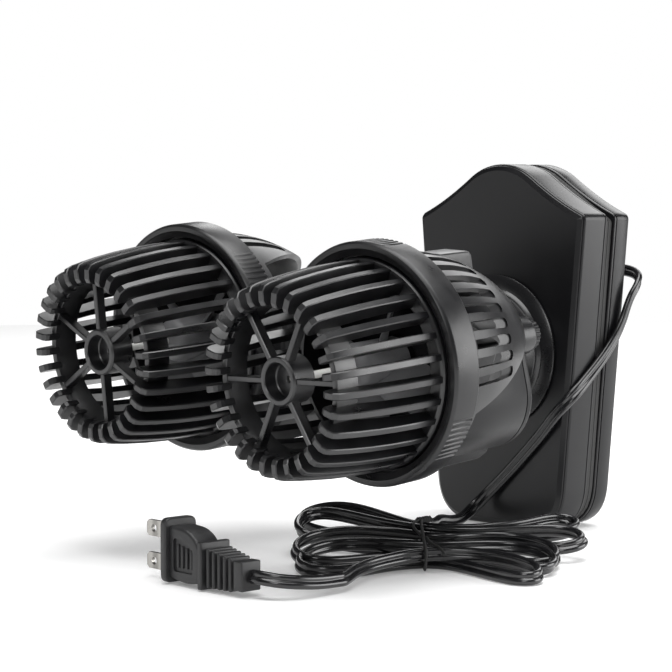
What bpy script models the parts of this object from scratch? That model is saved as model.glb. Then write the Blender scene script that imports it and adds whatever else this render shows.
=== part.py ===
"""Wave maker pump: two caged propeller heads on a ball-jointed arm, held by a two-part magnet mount.

Metres, +Z up. The heads face -Y and the tank glass goes between the two halves of the mount. Everything is
drawn from the middle of the wet half's foot, then shifted so that the origin is where the glass is gripped.
Distances called "ahead" run from the ball centre along -Y.
"""
import math

import bmesh
import bpy
from mathutils import Matrix, Vector

MM = 0.001
GAP = 0.3 * MM  # between faces that touch on the real pump
TURN = 2 * math.pi
RINGS = 32  # facets round a large ring
CAGE_RINGS = 30  # facets round the grille, one for each fin
ROUND = 24  # facets round a rotor, well or washer
PARTS = 20  # facets round a hub, knob or ball
PINS = 16  # facets round a pin, bush or gland

# Mount: outline of both halves, seen from the front
APEX_Z = 162.0 * MM
APEX_RADIUS = 32.0 * MM
ROOF_ANGLE = math.radians(28.0)
SHOULDER_Z = 139.0 * MM
SHOULDER_HALF = 47.5 * MM
SHOULDER_RADIUS = 3.2 * MM
HIP_Z = 18.3 * MM
HIP_HALF = 37.7 * MM
FOOT_HALF = 20.0 * MM
WET_FRONT = -8.75 * MM
WET_BACK = 8.75 * MM
PAD_THICK = 2.1 * MM
DRY_FRONT = 13.85 * MM
DRY_BACK = 24.9 * MM
CASING_WALL = 2.6 * MM
EDGE_BEVEL = 2.4 * MM
PLATE_THICK = 2.1 * MM
MAGNET_HALF = 21.0 * MM
MAGNET_HEIGHT = 38.0 * MM
MAGNET_ZS = (52.0 * MM, 98.0 * MM)
GRIP = Vector((0.0, WET_BACK + GAP + PAD_THICK, 80.0 * MM))  # on the wet half's pad, where the glass is held

# Ball joint
BALL = Vector((0.0, -21.2 * MM, 78.6 * MM))
BALL_RADIUS = 9.0 * MM
LINER_INNER = BALL_RADIUS + GAP
LINER_OUTER = LINER_INNER + 1.5 * MM
SEAT_RADIUS = LINER_OUTER + GAP
LINER_FRONT = math.radians(58.0)  # opening of the liner, from straight ahead
LINER_REAR = math.radians(150.0)
NECK_RADIUS = 4.5 * MM
SHANK_RADIUS = 4.0 * MM
SOCKET_FACETS = 32
FLANGE_RADIUS = 34.0 * MM
CUP_RADIUS = 26.4 * MM
ARM_TILT = math.radians(4.6)  # the heads droop a little
ARM_ROLL = math.radians(3.0)  # and the left one sits higher

# Arm
HEAD_SPAN = 53.0 * MM  # ball to head axis, sideways
HEAD_RISE = 16.9 * MM  # head axes above the ball
BAR_REAR = 33.0 * MM
BAR_FRONT = 40.0 * MM
BAR_HALF_HEIGHT = 6.5 * MM
BAR_BEVEL = 1.6 * MM
HUB_RADIUS = 8.0 * MM
HUB_REAR = 32.0 * MM
HUB_FRONT = 41.0 * MM
LUG_HALF = 12.0 * MM  # the centre lug that comes down to the stud
LUG_LOW = -9.5 * MM
LUG_CORNER = 4.0 * MM
LUG_SHOULDER = 8.0 * MM
STUD_COLLAR_RADIUS = 9.0 * MM
STUD_COLLAR_REAR = 27.0 * MM
STUD_END = 46.0 * MM
NUT_RADIUS = 7.4 * MM
NUT_HEIGHT = 4.7 * MM

# Heads: how far each is turned about its own axis, so that its motor side points down or inward
RIGHT_SPIN = math.radians(19.8)
LEFT_SPIN = math.radians(-51.6)
LEFT_CAGE_TURN = math.radians(-19.0)  # the left cage was clamped a little further round
FINS = 30
FIN_THICK = 2.8 * MM
SPOKES = 6
SPOKE_PHASE = math.radians(6.0)  # the spokes stand midway between fins
SPOKE_WIDTH = 2.2 * MM
COLLAR_RADIUS = 48.0 * MM
NOTCH_GROUPS = 3
NOTCHES = 8
NOTCH_PITCH = math.radians(3.0)
NOTCH_PHASE = math.radians(172.5)
SLOT_PITCH = math.radians(9.5)
SLOTS_EACH_SIDE = 8
SLOT_WIDTH = 3.9 * MM
CUT_AHEAD = 97.0 * MM  # the shroud's rear is sliced off by a plane through here
CUT_SLOPE = 0.36
LOBE_DROP = 24.0 * MM  # motor housing axis below the head axis
LOBE_RADIUS = 23.3 * MM
EAR_RADIUS = 10.4 * MM
CAVITY_DROP = 25.5 * MM
CAVITY_RADIUS = 19.3 * MM
PIN_RADIUS = 4.6 * MM
PIN_REAR = 29.9 * MM
PIN_FRONT = 60.0 * MM
SHAFT_RADIUS = 1.5 * MM
SHAFT_REAR = 66.2 * MM
SHAFT_FRONT = 164.2 * MM
CAP_REAR = 43.0 * MM
CAP_FRONT = 46.5 * MM
CAP_BEVEL = 1.4 * MM
SPIGOT_FRONT = 50.0 * MM
HOUSING_REAR = CAP_FRONT + GAP
PLATE_REAR = 104.0 * MM
PLATE_FRONT = 107.5 * MM
PLATE_RADIUS = 40.3 * MM
CAVITY_ROOF = 102.0 * MM
BLADES = 4
BLADE_ROOT = 8.0 * MM
BLADE_TIP = 31.5 * MM
BLADE_AHEAD = 119.5 * MM
BLADE_LEAN = math.radians(38.0)
BLADE_TWIST = math.radians(22.0)  # how much steeper a blade is at its root
BLADE_STEPS = 4

# Outlines of one head as (radius, ahead), in millimetres
FIN_OUTLINE = (
    (41.0, 124.6), (40.3, 143.0), (38.0, 164.0), (35.6, 175.2), (33.6, 177.2), (28.6, 175.8), (28.4, 160.0),
    (32.4, 142.0), (34.6, 124.6),
)
GRILLE_FLANGE = ((34.0, 116.6), (44.6, 116.6), (44.6, 120.6), (42.0, 120.6), (42.0, 125.2), (34.0, 125.2))
GRILLE_BAND = ((28.9, 160.2), (31.4, 160.2), (31.4, 171.2), (28.9, 171.2))
GRILLE_HUB = (
    (9.4, 161.0), (9.4, 171.4), (8.9, 172.0), (7.0, 172.0), (7.0, 166.0), (0.0, 166.0), (0.0, 164.7),
    (3.4, 164.7), (3.4, 161.0),
)
SPOKE_INNER = 8.2 * MM
SPOKE_OUTER = 30.2 * MM
SPOKE_REAR = 166.8 * MM
SPOKE_FRONT = 171.0 * MM
RING_REAR = 112.3 * MM
RING_FRONT = 125.9 * MM
RING_PROFILE = (
    (45.4, 112.3), (48.0, 112.3), (48.0, 125.0), (47.1, 125.9), (45.4, 125.9), (45.4, 124.4), (42.4, 124.4),
    (42.4, 121.2), (45.4, 121.2),
)
NOTCH_DEPTH = 0.7 * MM
NOTCH_WIDTH = 1.0 * MM
SHROUD_PROFILE = (
    (43.3, 108.0), (42.0, 98.0), (39.6, 88.0), (35.4, 76.6), (29.6, 66.0), (21.6, 55.6), (19.4, 57.0),
    (27.4, 67.0), (33.2, 77.6), (37.4, 89.0), (39.8, 99.0), (40.8, 107.0), (40.8, 116.3), (45.1, 116.3),
    (45.1, 112.6), (43.6, 112.2),
)
SLOT_REAR = 80.0 * MM
SLOT_FRONT = 108.4 * MM
WELL_PROFILE = ((0.0, 64.6), (4.6, 64.6), (4.6, 68.0), (9.6, 68.0), (9.6, 109.0), (0.0, 109.0))
BARREL_PROFILE = ((0.0, 66.0), (11.3, 66.0), (11.3, 105.0), (0.0, 105.0))
WASHER_PROFILE = ((5.0, 41.3), (7.8, 41.3), (7.8, 42.7), (5.0, 42.7))
KNOB_PROFILE = ((0.0, 27.9), (6.8, 27.9), (6.8, 31.7), (4.9, 31.7), (4.9, 29.6), (0.0, 29.6))
REAR_BUSH = ((1.8, 64.9), (4.3, 64.9), (4.3, 69.4), (1.8, 69.4))
FRONT_BUSH = ((1.8, 161.3), (3.1, 161.3), (3.1, 164.4), (1.8, 164.4))
ROTOR_PROFILE = ((3.5, 72.0), (8.6, 72.0), (8.6, 100.0), (3.5, 100.0))
PROPELLER_HUB = (
    (1.8, 72.4), (3.2, 72.4), (3.2, 108.8), (9.2, 108.8), (9.2, 130.0), (7.6, 133.4), (1.8, 135.8),
)
CORE_OUTLINE = (
    (-16.4, 7.8), (-11.7, 7.8), (-11.7, -24.0), (11.7, -24.0), (11.7, 7.8), (16.4, 7.8), (16.4, -31.0),
    (-16.4, -31.0),
)
CORE_REAR = 78.0 * MM
CORE_FRONT = 92.0 * MM

# Cord
CORD_TUBE_RADIUS = 1.4 * MM
GLAND_Z = 70.0 * MM
GLAND_HOLE = 4.3 * MM
HANK_CENTRE = Vector((52.0, -105.0, 0.0)) * MM
HANK_TURN = math.radians(45.0)
HANK_HEIGHT = 15.5 * MM
HANK_LOBE_HEIGHT = 21.5 * MM
PLUG_END = Vector((56.0, -208.6, 0.0)) * MM  # where the cord leaves the plug
PLUG_TURN = math.radians(-3.0)
BLADE_PITCH = 12.7 * MM
BLADE_LENGTH = 17.0 * MM
RIBS = 5
RIB_TOP = 16.4 * MM
RIB_PITCH = 2.9 * MM
RIB_THICK = 1.5 * MM
FLANGE_HALF = 12.4 * MM  # of the plug's front flange, up and down
PLUG_MIDDLE = 13.0 * MM  # height of the plug's axis
PLUG_FACE = -46.0 * MM

# Millimetres: from the gland round behind the mount, down across its side and face, and on to the hank
LEAD_ROUTE = (
    (-56.3, 0.0, 70.0), (-61.0, 0.8, 70.6), (-65.0, 4.6, 72.4), (-66.4, 11.0, 75.6), (-65.4, 18.5, 79.6),
    (-62.0, 25.6, 84.4), (-56.4, 31.0, 89.4), (-48.6, 34.6, 94.2), (-39.0, 36.2, 98.8), (-28.6, 36.6, 102.8),
    (-17.6, 36.6, 106.4), (-6.4, 36.6, 109.6), (5.0, 36.6, 112.2), (16.2, 36.6, 114.0), (26.8, 36.6, 114.8),
    (35.8, 36.5, 114.6), (42.2, 35.6, 113.4), (46.6, 33.2, 111.2), (48.5, 29.2, 107.8), (48.4, 25.6, 103.6),
    (47.7, 23.6, 98.9), (46.9, 22.0, 93.6), (46.1, 19.4, 88.2), (45.4, 15.8, 82.9), (44.8, 11.2, 77.6),
    (44.3, 6.2, 72.8), (43.8, 0.6, 68.0), (43.6, -5.2, 63.4), (41.8, -9.8, 58.8), (37.4, -11.2, 54.0),
    (32.8, -11.2, 49.0), (27.8, -10.9, 43.6), (22.6, -10.8, 38.4), (17.2, -10.7, 33.2), (11.8, -10.7, 28.0),
    (6.2, -10.8, 22.8), (1.0, -11.2, 17.9), (-3.6, -12.4, 13.2), (-6.4, -15.6, 9.0), (-6.6, -20.8, 6.0),
    (-4.0, -27.6, 4.8), (0.0, -35.0, 5.0), (4.6, -43.0, 5.9), (9.6, -51.0, 7.2), (14.8, -58.8, 8.7),
    (20.2, -66.4, 10.2), (25.6, -73.8, 11.2), (30.6, -80.8, 11.6), (34.0, -85.6, 11.6), (36.7, -89.5, 11.5),
)
# Millimetres: from the plug's cord end in a bend to the hank
PLUG_ROUTE = (
    (56.4, -208.6, 8.0), (61.0, -208.2, 7.9), (65.4, -206.2, 7.4), (68.6, -202.6, 6.8), (70.6, -197.6, 6.2),
    (71.6, -192.0, 5.6), (71.8, -186.2, 5.2), (71.6, -180.4, 5.0), (71.2, -174.6, 5.0), (70.4, -168.6, 5.2),
)
# Millimetres, along and across the hank: its fanned ends either side of the waist, and the higher stack
HANK_OUTLINE = (
    (-57, -4), (-56, -20), (-53, -36), (-45, -46), (-37, -51.5), (-34.0, -56.2), (-29.8, -59.4), (-19.5, -45),
    (-6, -25), (4, -17), (14, -15), (20, -32), (26, -43), (33, -47), (39, -38), (46, -27), (53, -18),
    (59, -2), (60, 16), (60, 35), (55, 39), (44, 26), (28, 18), (10, 18), (-5, 22), (-20, 36), (-38, 50),
    (-50, 46), (-55, 33), (-58, 14),
)
HANK_STACK = ((-12, 22), (-26, 35), (-38, 45), (-47, 42), (-50, 33), (-40, 24), (-26, 18))

BLACK = (0.012, 0.012, 0.013)
DARK = (0.025, 0.025, 0.027)


# ---------------------------------------------------------------- helpers

def clear_scene():
    for obj in list(bpy.data.objects):
        bpy.data.objects.remove(obj, do_unlink=True)


def material(name, colour, roughness, metallic=0.0):
    """One Principled material, shared by every piece made of it."""
    found = bpy.data.materials.get(name)
    if found:
        return found
    made = bpy.data.materials.new(name)
    made.use_nodes = True
    shader = made.node_tree.nodes["Principled BSDF"]
    shader.inputs["Base Color"].default_value = (*colour, 1.0)
    shader.inputs["Roughness"].default_value = roughness
    shader.inputs["Metallic"].default_value = metallic
    made.diffuse_color = (*colour, 1.0)
    return made


def satin_black():
    return material("satin_black_plastic", BLACK, 0.35)


def soft_black():
    return material("soft_black_plastic", DARK, 0.5)


def rubber():
    return material("black_rubber", (0.02, 0.02, 0.02), 0.8)


def steel():
    return material("stainless_steel", (0.6, 0.6, 0.62), 0.3, 1.0)


def magnet():
    return material("magnet", (0.08, 0.08, 0.085), 0.4, 0.6)


def ceramic():
    return material("white_ceramic", (0.85, 0.85, 0.82), 0.2)


def empty(name, parent=None, location=(0, 0, 0), rotation=(0, 0, 0)):
    made = bpy.data.objects.new(name, None)
    made.parent = parent
    made.location = location
    made.rotation_euler = rotation
    bpy.context.scene.collection.objects.link(made)
    return made


def finish(name, bm, mat, parent=None):
    """Turns the bmesh into a named object under its parent."""
    bmesh.ops.remove_doubles(bm, verts=bm.verts, dist=0.001 * MM)
    bmesh.ops.recalc_face_normals(bm, faces=bm.faces)
    mesh = bpy.data.meshes.new(name)
    bm.to_mesh(mesh)
    bm.free()
    made = bpy.data.objects.new(name, mesh)
    mesh.materials.append(mat)
    made.parent = parent
    bpy.context.scene.collection.objects.link(made)
    return made


def combine(obj, other, operation):
    """Adds one Boolean to obj and hides its operand, which moves with the same parent."""
    other.hide_render = True
    other.display_type = "WIRE"
    step = obj.modifiers.new(other.name, "BOOLEAN")
    step.object = other
    step.operation = operation
    step.solver = "EXACT"
    return obj


def lathe(bm, profile, facets=RINGS, offset=(0, 0, 0)):
    """Spins a closed outline of (radius, ahead) points about the line through offset along Y."""
    made = [bm.verts.new((radius, -ahead, 0.0)) for radius, ahead in profile]
    edges = [bm.edges.new((a, b)) for a, b in zip(made, made[1:] + made[:1])]
    before = set(bm.verts)
    bmesh.ops.spin(
        bm, geom=made + edges, cent=(0, 0, 0), axis=(0, 1, 0), angle=TURN, steps=facets, use_merge=True
    )
    ring = made + [v for v in bm.verts if v not in before]
    bmesh.ops.remove_doubles(bm, verts=ring, dist=0.001 * MM)
    moved = [v for v in ring if v.is_valid]
    bmesh.ops.translate(bm, verts=moved, vec=offset)
    return moved


def prism(bm, outline, low, high, place):
    """A straight bar with this outline; place(a, b, c) turns outline and length into a point."""
    ends = []
    for end in (low, high):
        ends.append([bm.verts.new(place(a, b, end)) for a, b in outline])
    bm.faces.new(ends[0])
    bm.faces.new(ends[1][::-1])
    count = len(outline)
    for i in range(count):
        j = (i + 1) % count
        bm.faces.new((ends[0][j], ends[0][i], ends[1][i], ends[1][j]))
    return ends[0] + ends[1]


def front_view(a, b, c):
    """Outline in X and Z, length measured ahead."""
    return (a, -c, b)


def world_front(a, b, c):
    """Outline in X and Z, length along +Y."""
    return (a, c, b)


def side_view(a, b, c):
    """Outline as (radius, ahead) in the plane X = 0, length sideways."""
    return (c, -b, a)


def plan_view(a, b, c):
    """Outline in X and Y, length upward."""
    return (a, b, c)


def box(bm, low, high):
    """An axis-aligned box between two corners."""
    outline = ((low[0], low[1]), (high[0], low[1]), (high[0], high[1]), (low[0], high[1]))
    return prism(bm, outline, low[2], high[2], plan_view)


def circle(radius, facets=PINS, centre=(0.0, 0.0)):
    return [
        (centre[0] + radius * math.cos(TURN * i / facets), centre[1] + radius * math.sin(TURN * i / facets))
        for i in range(facets)
    ]


def arc(centre, radius, start, end, steps):
    """Points along an arc, angles in radians."""
    found = []
    for i in range(steps + 1):
        angle = start + (end - start) * i / steps
        found.append((centre[0] + radius * math.cos(angle), centre[1] + radius * math.sin(angle)))
    return found


def turned(bm, verts, angle, centre=(0, 0, 0), axis="Y"):
    bmesh.ops.rotate(bm, verts=verts, cent=centre, matrix=Matrix.Rotation(angle, 3, axis))


def millimetres(points):
    return [(a * MM, b * MM) for a, b in points]


def inset(outline, distance):
    """The outline moved inwards by this much at every corner; the outline runs anticlockwise."""
    found = []
    count = len(outline)
    for i in range(count):
        before = Vector(outline[i - 1])
        here = Vector(outline[i])
        after = Vector(outline[(i + 1) % count])
        first = (here - before).normalized()
        second = (after - here).normalized()
        inward = Vector((-first.y - second.y, first.x + second.x)).normalized()
        lean = inward.dot(Vector((-first.y, first.x)))
        found.append(tuple(here + inward * distance / lean))
    return found


# ---------------------------------------------------------------- magnet mount

def shield_outline():
    """House-shaped outline with a rounded apex, tight shoulders and a rounded foot, anticlockwise."""
    side_lean = math.atan2(SHOULDER_HALF - HIP_HALF, SHOULDER_Z - HIP_Z)
    apex = arc((0.0, APEX_Z - APEX_RADIUS), APEX_RADIUS, math.pi / 2, math.pi / 2 - ROOF_ANGLE, 4)
    shoulder_centre = (SHOULDER_HALF - SHOULDER_RADIUS, SHOULDER_Z - SHOULDER_RADIUS)
    shoulder = arc(shoulder_centre, SHOULDER_RADIUS, math.pi / 2 - ROOF_ANGLE, -side_lean, 3)
    hip_bow = 5.0 * MM  # how far the rounded foot bulges past a straight corner cut
    hip = []
    for i in range(1, 6):
        t = i / 6
        x = HIP_HALF + (FOOT_HALF - HIP_HALF) * t
        z = HIP_Z * (1 - t)
        out = 4 * hip_bow * t * (1 - t)
        hip.append((x + out * math.sin(math.pi / 4), z - out * math.cos(math.pi / 4)))
    right = apex + shoulder + [(HIP_HALF, HIP_Z)] + hip + [(FOOT_HALF, 0.0)]
    left = [(-x, z) for x, z in right[1:]]
    return left + right[::-1]


def shell(name, outline, closed_y, open_y, bevelled, parent):
    """A casing half: bevelled round its closed face, hollow from its open face."""
    bm = bmesh.new()
    verts = prism(bm, outline, min(closed_y, open_y), max(closed_y, open_y), world_front)
    bmesh.ops.recalc_face_normals(bm, faces=bm.faces)
    rim = [
        e for e in bm.edges
        if all(abs(v.co.y - closed_y) < GAP / 10 for v in e.verts) and set(e.verts) <= set(verts)
    ]
    bmesh.ops.bevel(bm, geom=rim, offset=bevelled, segments=2, affect="EDGES", profile=0.5)
    made = finish(name, bm, satin_black(), parent)
    inner = bmesh.new()
    toward = math.copysign(1.0, open_y - closed_y)
    floor_y = closed_y + toward * CASING_WALL
    past_y = open_y + toward * MM
    prism(inner, inset(outline, CASING_WALL), min(floor_y, past_y), max(floor_y, past_y), world_front)
    return combine(made, finish(name + "_hollow", inner, rubber(), parent), "DIFFERENCE")


def plate(name, outline, low, high, mat, parent=None):
    bm = bmesh.new()
    prism(bm, outline, low, high, world_front)
    return finish(name, bm, mat, parent)


def magnets(prefix, low, high, parent=None):
    for place, z in zip(("lower", "upper"), MAGNET_ZS):
        bm = bmesh.new()
        box(bm, (-MAGNET_HALF, low, z - MAGNET_HEIGHT / 2), (MAGNET_HALF, high, z + MAGNET_HEIGHT / 2))
        finish(f"{prefix}_magnet_{place}", bm, magnet(), parent)


def yoke(name, low, high, parent=None):
    """The steel plate behind the magnets, away from the glass."""
    bm = bmesh.new()
    margin = 3.0 * MM
    bottom = MAGNET_ZS[0] - MAGNET_HEIGHT / 2 - margin
    top = MAGNET_ZS[1] + MAGNET_HEIGHT / 2 + margin
    box(bm, (-MAGNET_HALF - margin, low, bottom), (MAGNET_HALF + margin, high, top))
    finish(name, bm, steel(), parent)


def wet_half():
    outline = shield_outline()
    casing = shell("front_casing", outline, WET_FRONT, WET_BACK, EDGE_BEVEL, None)
    bm = bmesh.new()
    left = -SHOULDER_HALF
    prism(bm, circle(GLAND_HOLE, PINS, (0.0, GLAND_Z)), left, left / 2, lambda a, b, c: (c, a, b))
    combine(casing, finish("front_casing_gland_hole", bm, rubber()), "DIFFERENCE")
    lid_back = WET_BACK
    lid_front = lid_back - PLATE_THICK
    plate("front_casing_lid", inset(outline, CASING_WALL + GAP), lid_front, lid_back, soft_black())
    pad_front = WET_BACK + GAP
    plate("front_pad", inset(outline, 0.8 * MM), pad_front, pad_front + PAD_THICK, rubber())
    inner = WET_FRONT + CASING_WALL + GAP
    yoke("front_yoke_plate", inner, inner + PLATE_THICK)
    magnets("front", inner + PLATE_THICK + GAP, lid_front - GAP)


def dry_half():
    slide = empty("rear_half", None, (0.0, DRY_FRONT, 0.0))
    outline = shield_outline()
    depth = DRY_BACK - DRY_FRONT
    shell("rear_casing", outline, depth, 0.0, EDGE_BEVEL, slide)
    plate("rear_casing_lid", inset(outline, CASING_WALL + GAP), 0.0, PLATE_THICK, soft_black(), slide)
    plate("rear_pad", inset(outline, 0.8 * MM), -GAP - PAD_THICK, -GAP, rubber(), slide)
    yoke_back = depth - CASING_WALL - GAP
    yoke_front = yoke_back - 1.2 * MM
    yoke("rear_yoke_plate", yoke_front, yoke_back, slide)
    magnets("rear", PLATE_THICK + GAP, yoke_front - GAP, slide)


# ---------------------------------------------------------------- ball joint and arm

def sphere_arc(radius, start, end, steps):
    """(radius, ahead) points on a sphere round the ball centre, angles from straight ahead."""
    return [(abs(b), a) for a, b in arc((0.0, 0.0), radius, start, end, steps)]


def socket():
    """The flanged cup fixed to the wet half, and the clamp ring that holds the ball in it."""
    back = BALL.y - WET_FRONT + GAP
    rim = back + 1.6 * MM
    shoulder = back + 4.8 * MM
    front = 3.0 * MM
    profile = [(0.0, back), (FLANGE_RADIUS, back), (FLANGE_RADIUS, rim), (CUP_RADIUS + 1.6 * MM, shoulder)]
    profile += [(CUP_RADIUS, shoulder + 0.4 * MM), (CUP_RADIUS, front)]
    profile += sphere_arc(SEAT_RADIUS, math.acos(front / SEAT_RADIUS), math.pi, 7)
    profile[-1] = (0.0, -SEAT_RADIUS)
    bm = bmesh.new()
    lathe(bm, profile, SOCKET_FACETS, BALL)
    finish("socket_base", bm, satin_black())
    rear = front + GAP
    nose = 10.5 * MM
    profile = [(CUP_RADIUS, rear), (CUP_RADIUS - 0.8 * MM, rear + 2.6 * MM)]
    profile += [(19.0 * MM, nose), (14.0 * MM, nose)]
    profile += sphere_arc(SEAT_RADIUS, math.radians(60.0), math.acos(rear / SEAT_RADIUS), 1)
    bm = bmesh.new()
    lathe(bm, profile, SOCKET_FACETS, BALL)
    finish("socket_ring", bm, soft_black())


def ball_liner():
    """Plastic shell between ball and socket: it tilts in the socket, and the ball pans in it."""
    frame = empty("ball_tilt", None, BALL, (ARM_TILT, 0.0, 0.0))
    profile = sphere_arc(LINER_INNER, LINER_FRONT, LINER_REAR, 6)
    profile += sphere_arc(LINER_OUTER, LINER_REAR, LINER_FRONT, 6)
    bm = bmesh.new()
    lathe(bm, profile, PARTS)
    finish("ball_liner", bm, material("white_nylon", (0.75, 0.75, 0.72), 0.45), frame)
    return frame


def ball_stud(frame):
    shank = SHANK_RADIUS
    start = math.asin(NECK_RADIUS / BALL_RADIUS)
    profile = sphere_arc(BALL_RADIUS, math.pi, start, 8)
    profile[0] = (0.0, -BALL_RADIUS)
    stop = STUD_COLLAR_REAR
    seat = BAR_REAR - GAP
    collar = STUD_COLLAR_RADIUS
    profile += [(NECK_RADIUS, stop), (collar, stop), (collar, seat), (shank, seat)]
    profile += [(shank, STUD_END), (0.0, STUD_END)]
    bm = bmesh.new()
    lathe(bm, profile, PARTS)
    finish("ball_stud", bm, steel(), frame)


def stud_nut(arm):
    """Hexagon nut that clamps the crossbar against the stud's collar."""
    bm = bmesh.new()
    rear = BAR_FRONT + GAP
    prism(bm, circle(NUT_RADIUS, 6), rear, rear + NUT_HEIGHT, front_view)
    nut = finish("stud_nut", bm, steel(), arm)
    bore = bmesh.new()
    prism(bore, circle(SHANK_RADIUS + GAP), rear - MM, rear + NUT_HEIGHT + MM, front_view)
    combine(nut, finish("stud_nut_bore", bore, steel(), arm), "DIFFERENCE")


def bar_outline():
    """The crossbar seen from the front, with its centre lug carried down to the ball."""
    top = HEAD_RISE + BAR_HALF_HEIGHT
    bottom = HEAD_RISE - BAR_HALF_HEIGHT
    span = HEAD_SPAN - HUB_RADIUS / 2
    right = [(LUG_CORNER, LUG_LOW), (LUG_HALF, LUG_LOW + LUG_SHOULDER), (LUG_HALF + LUG_CORNER, bottom)]
    right += [(span, bottom), (span, top)]
    left = [(-x, z) for x, z in right[::-1]]
    return right + left


def crossbar(arm):
    bm = bmesh.new()
    prism(bm, bar_outline(), BAR_REAR, BAR_FRONT, front_view)
    rim = [e for e in bm.edges if abs((e.verts[0].co - e.verts[1].co).y) < GAP]
    bmesh.ops.bevel(bm, geom=rim, offset=BAR_BEVEL, segments=1, affect="EDGES")
    bar = finish("crossbar", bm, satin_black(), arm)
    hubs = bmesh.new()
    bores = bmesh.new()
    for side in (-1, 1):
        centre = (side * HEAD_SPAN, HEAD_RISE)
        prism(hubs, circle(HUB_RADIUS, ROUND, centre), HUB_REAR, HUB_FRONT, front_view)
        prism(bores, circle(PIN_RADIUS + GAP, PINS, centre), HUB_REAR - MM, HUB_FRONT + MM, front_view)
    prism(bores, circle(SHANK_RADIUS + GAP), BAR_REAR - MM, BAR_FRONT + MM, front_view)
    combine(bar, finish("crossbar_hubs", hubs, satin_black(), arm), "UNION")
    combine(bar, finish("crossbar_bores", bores, satin_black(), arm), "DIFFERENCE")


# ---------------------------------------------------------------- one head

def fins(bm):
    for i in range(FINS):
        verts = prism(bm, millimetres(FIN_OUTLINE), -FIN_THICK / 2, FIN_THICK / 2, side_view)
        turned(bm, verts, TURN * i / FINS)


def front_grille(prefix, head):
    """Fin cage: rear flange, front band, hub, six spokes and thirty fins, one moulding."""
    bm = bmesh.new()
    lathe(bm, millimetres(GRILLE_FLANGE), CAGE_RINGS)
    lathe(bm, millimetres(GRILLE_BAND), CAGE_RINGS)
    lathe(bm, millimetres(GRILLE_HUB), PARTS)
    grille = finish(f"{prefix}_front_grille", bm, satin_black(), head)
    cage = bmesh.new()
    fins(cage)
    combine(grille, finish(f"{prefix}_fins", cage, satin_black(), head), "UNION")
    arms = bmesh.new()
    for i in range(SPOKES):
        verts = box(
            arms,
            (-SPOKE_WIDTH / 2, -SPOKE_FRONT, SPOKE_INNER),
            (SPOKE_WIDTH / 2, -SPOKE_REAR, SPOKE_OUTER),
        )
        turned(arms, verts, SPOKE_PHASE + TURN * i / SPOKES)
    return combine(grille, finish(f"{prefix}_spokes", arms, satin_black(), head), "UNION")


def lock_ring(prefix, head):
    """The twist ring that clamps the grille, with three groups of grip notches."""
    bm = bmesh.new()
    lathe(bm, millimetres(RING_PROFILE), RINGS)
    ring = finish(f"{prefix}_lock_ring", bm, satin_black(), head)
    cuts = bmesh.new()
    for group in range(NOTCH_GROUPS):
        for i in range(NOTCHES):
            verts = box(
                cuts,
                (-NOTCH_WIDTH / 2, -RING_FRONT - MM, COLLAR_RADIUS - NOTCH_DEPTH),
                (NOTCH_WIDTH / 2, -RING_REAR + MM, COLLAR_RADIUS + MM),
            )
            angle = NOTCH_PHASE + TURN * group / NOTCH_GROUPS + (i - (NOTCHES - 1) / 2) * NOTCH_PITCH
            turned(cuts, verts, angle)
    return combine(ring, finish(f"{prefix}_notches", cuts, satin_black(), head), "DIFFERENCE")


def slot_outline():
    """A slot seen from outside: (sideways, ahead), open front end square, rear end round."""
    half = SLOT_WIDTH / 2
    round_end = arc((0.0, SLOT_REAR + half), half, 0.0, -math.pi, 3)
    return round_end + [(-half, SLOT_FRONT), (half, SLOT_FRONT)]


def rear_shroud(prefix, head):
    """Slotted bell behind the lock ring, its lower rear sliced away where the motor comes out."""
    bm = bmesh.new()
    lathe(bm, millimetres(SHROUD_PROFILE), RINGS)
    shroud = finish(f"{prefix}_rear_shroud", bm, satin_black(), head)
    slice_box = bmesh.new()
    reach = 70.0 * MM
    top = 105.5 * MM
    low = 30.0 * MM
    outline = [(-reach, top), (-(top - CUT_AHEAD) * CUT_SLOPE, top), ((CUT_AHEAD - low) * CUT_SLOPE, low)]
    outline += [(-reach, low)]
    prism(slice_box, outline, -reach, reach, side_view)
    combine(shroud, finish(f"{prefix}_slice", slice_box, rubber(), head), "DIFFERENCE")
    cuts = bmesh.new()
    for i in range(-SLOTS_EACH_SIDE, SLOTS_EACH_SIDE + 1):
        verts = prism(cuts, slot_outline(), 26.0 * MM, 50.0 * MM, lambda a, b, c: (a, -b, c))
        turned(cuts, verts, i * SLOT_PITCH)
    return combine(shroud, finish(f"{prefix}_slots", cuts, rubber(), head), "DIFFERENCE")


def teardrop(big, small, facets=22):
    """Outline round the motor lobe and the swivel ear above it."""
    lean = math.asin((big - small) / LOBE_DROP)
    upper = arc((0.0, 0.0), small, lean, math.pi - lean, 6)
    lower = arc((0.0, -LOBE_DROP), big, math.pi - lean, TURN + lean, facets)
    return upper + lower


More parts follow.
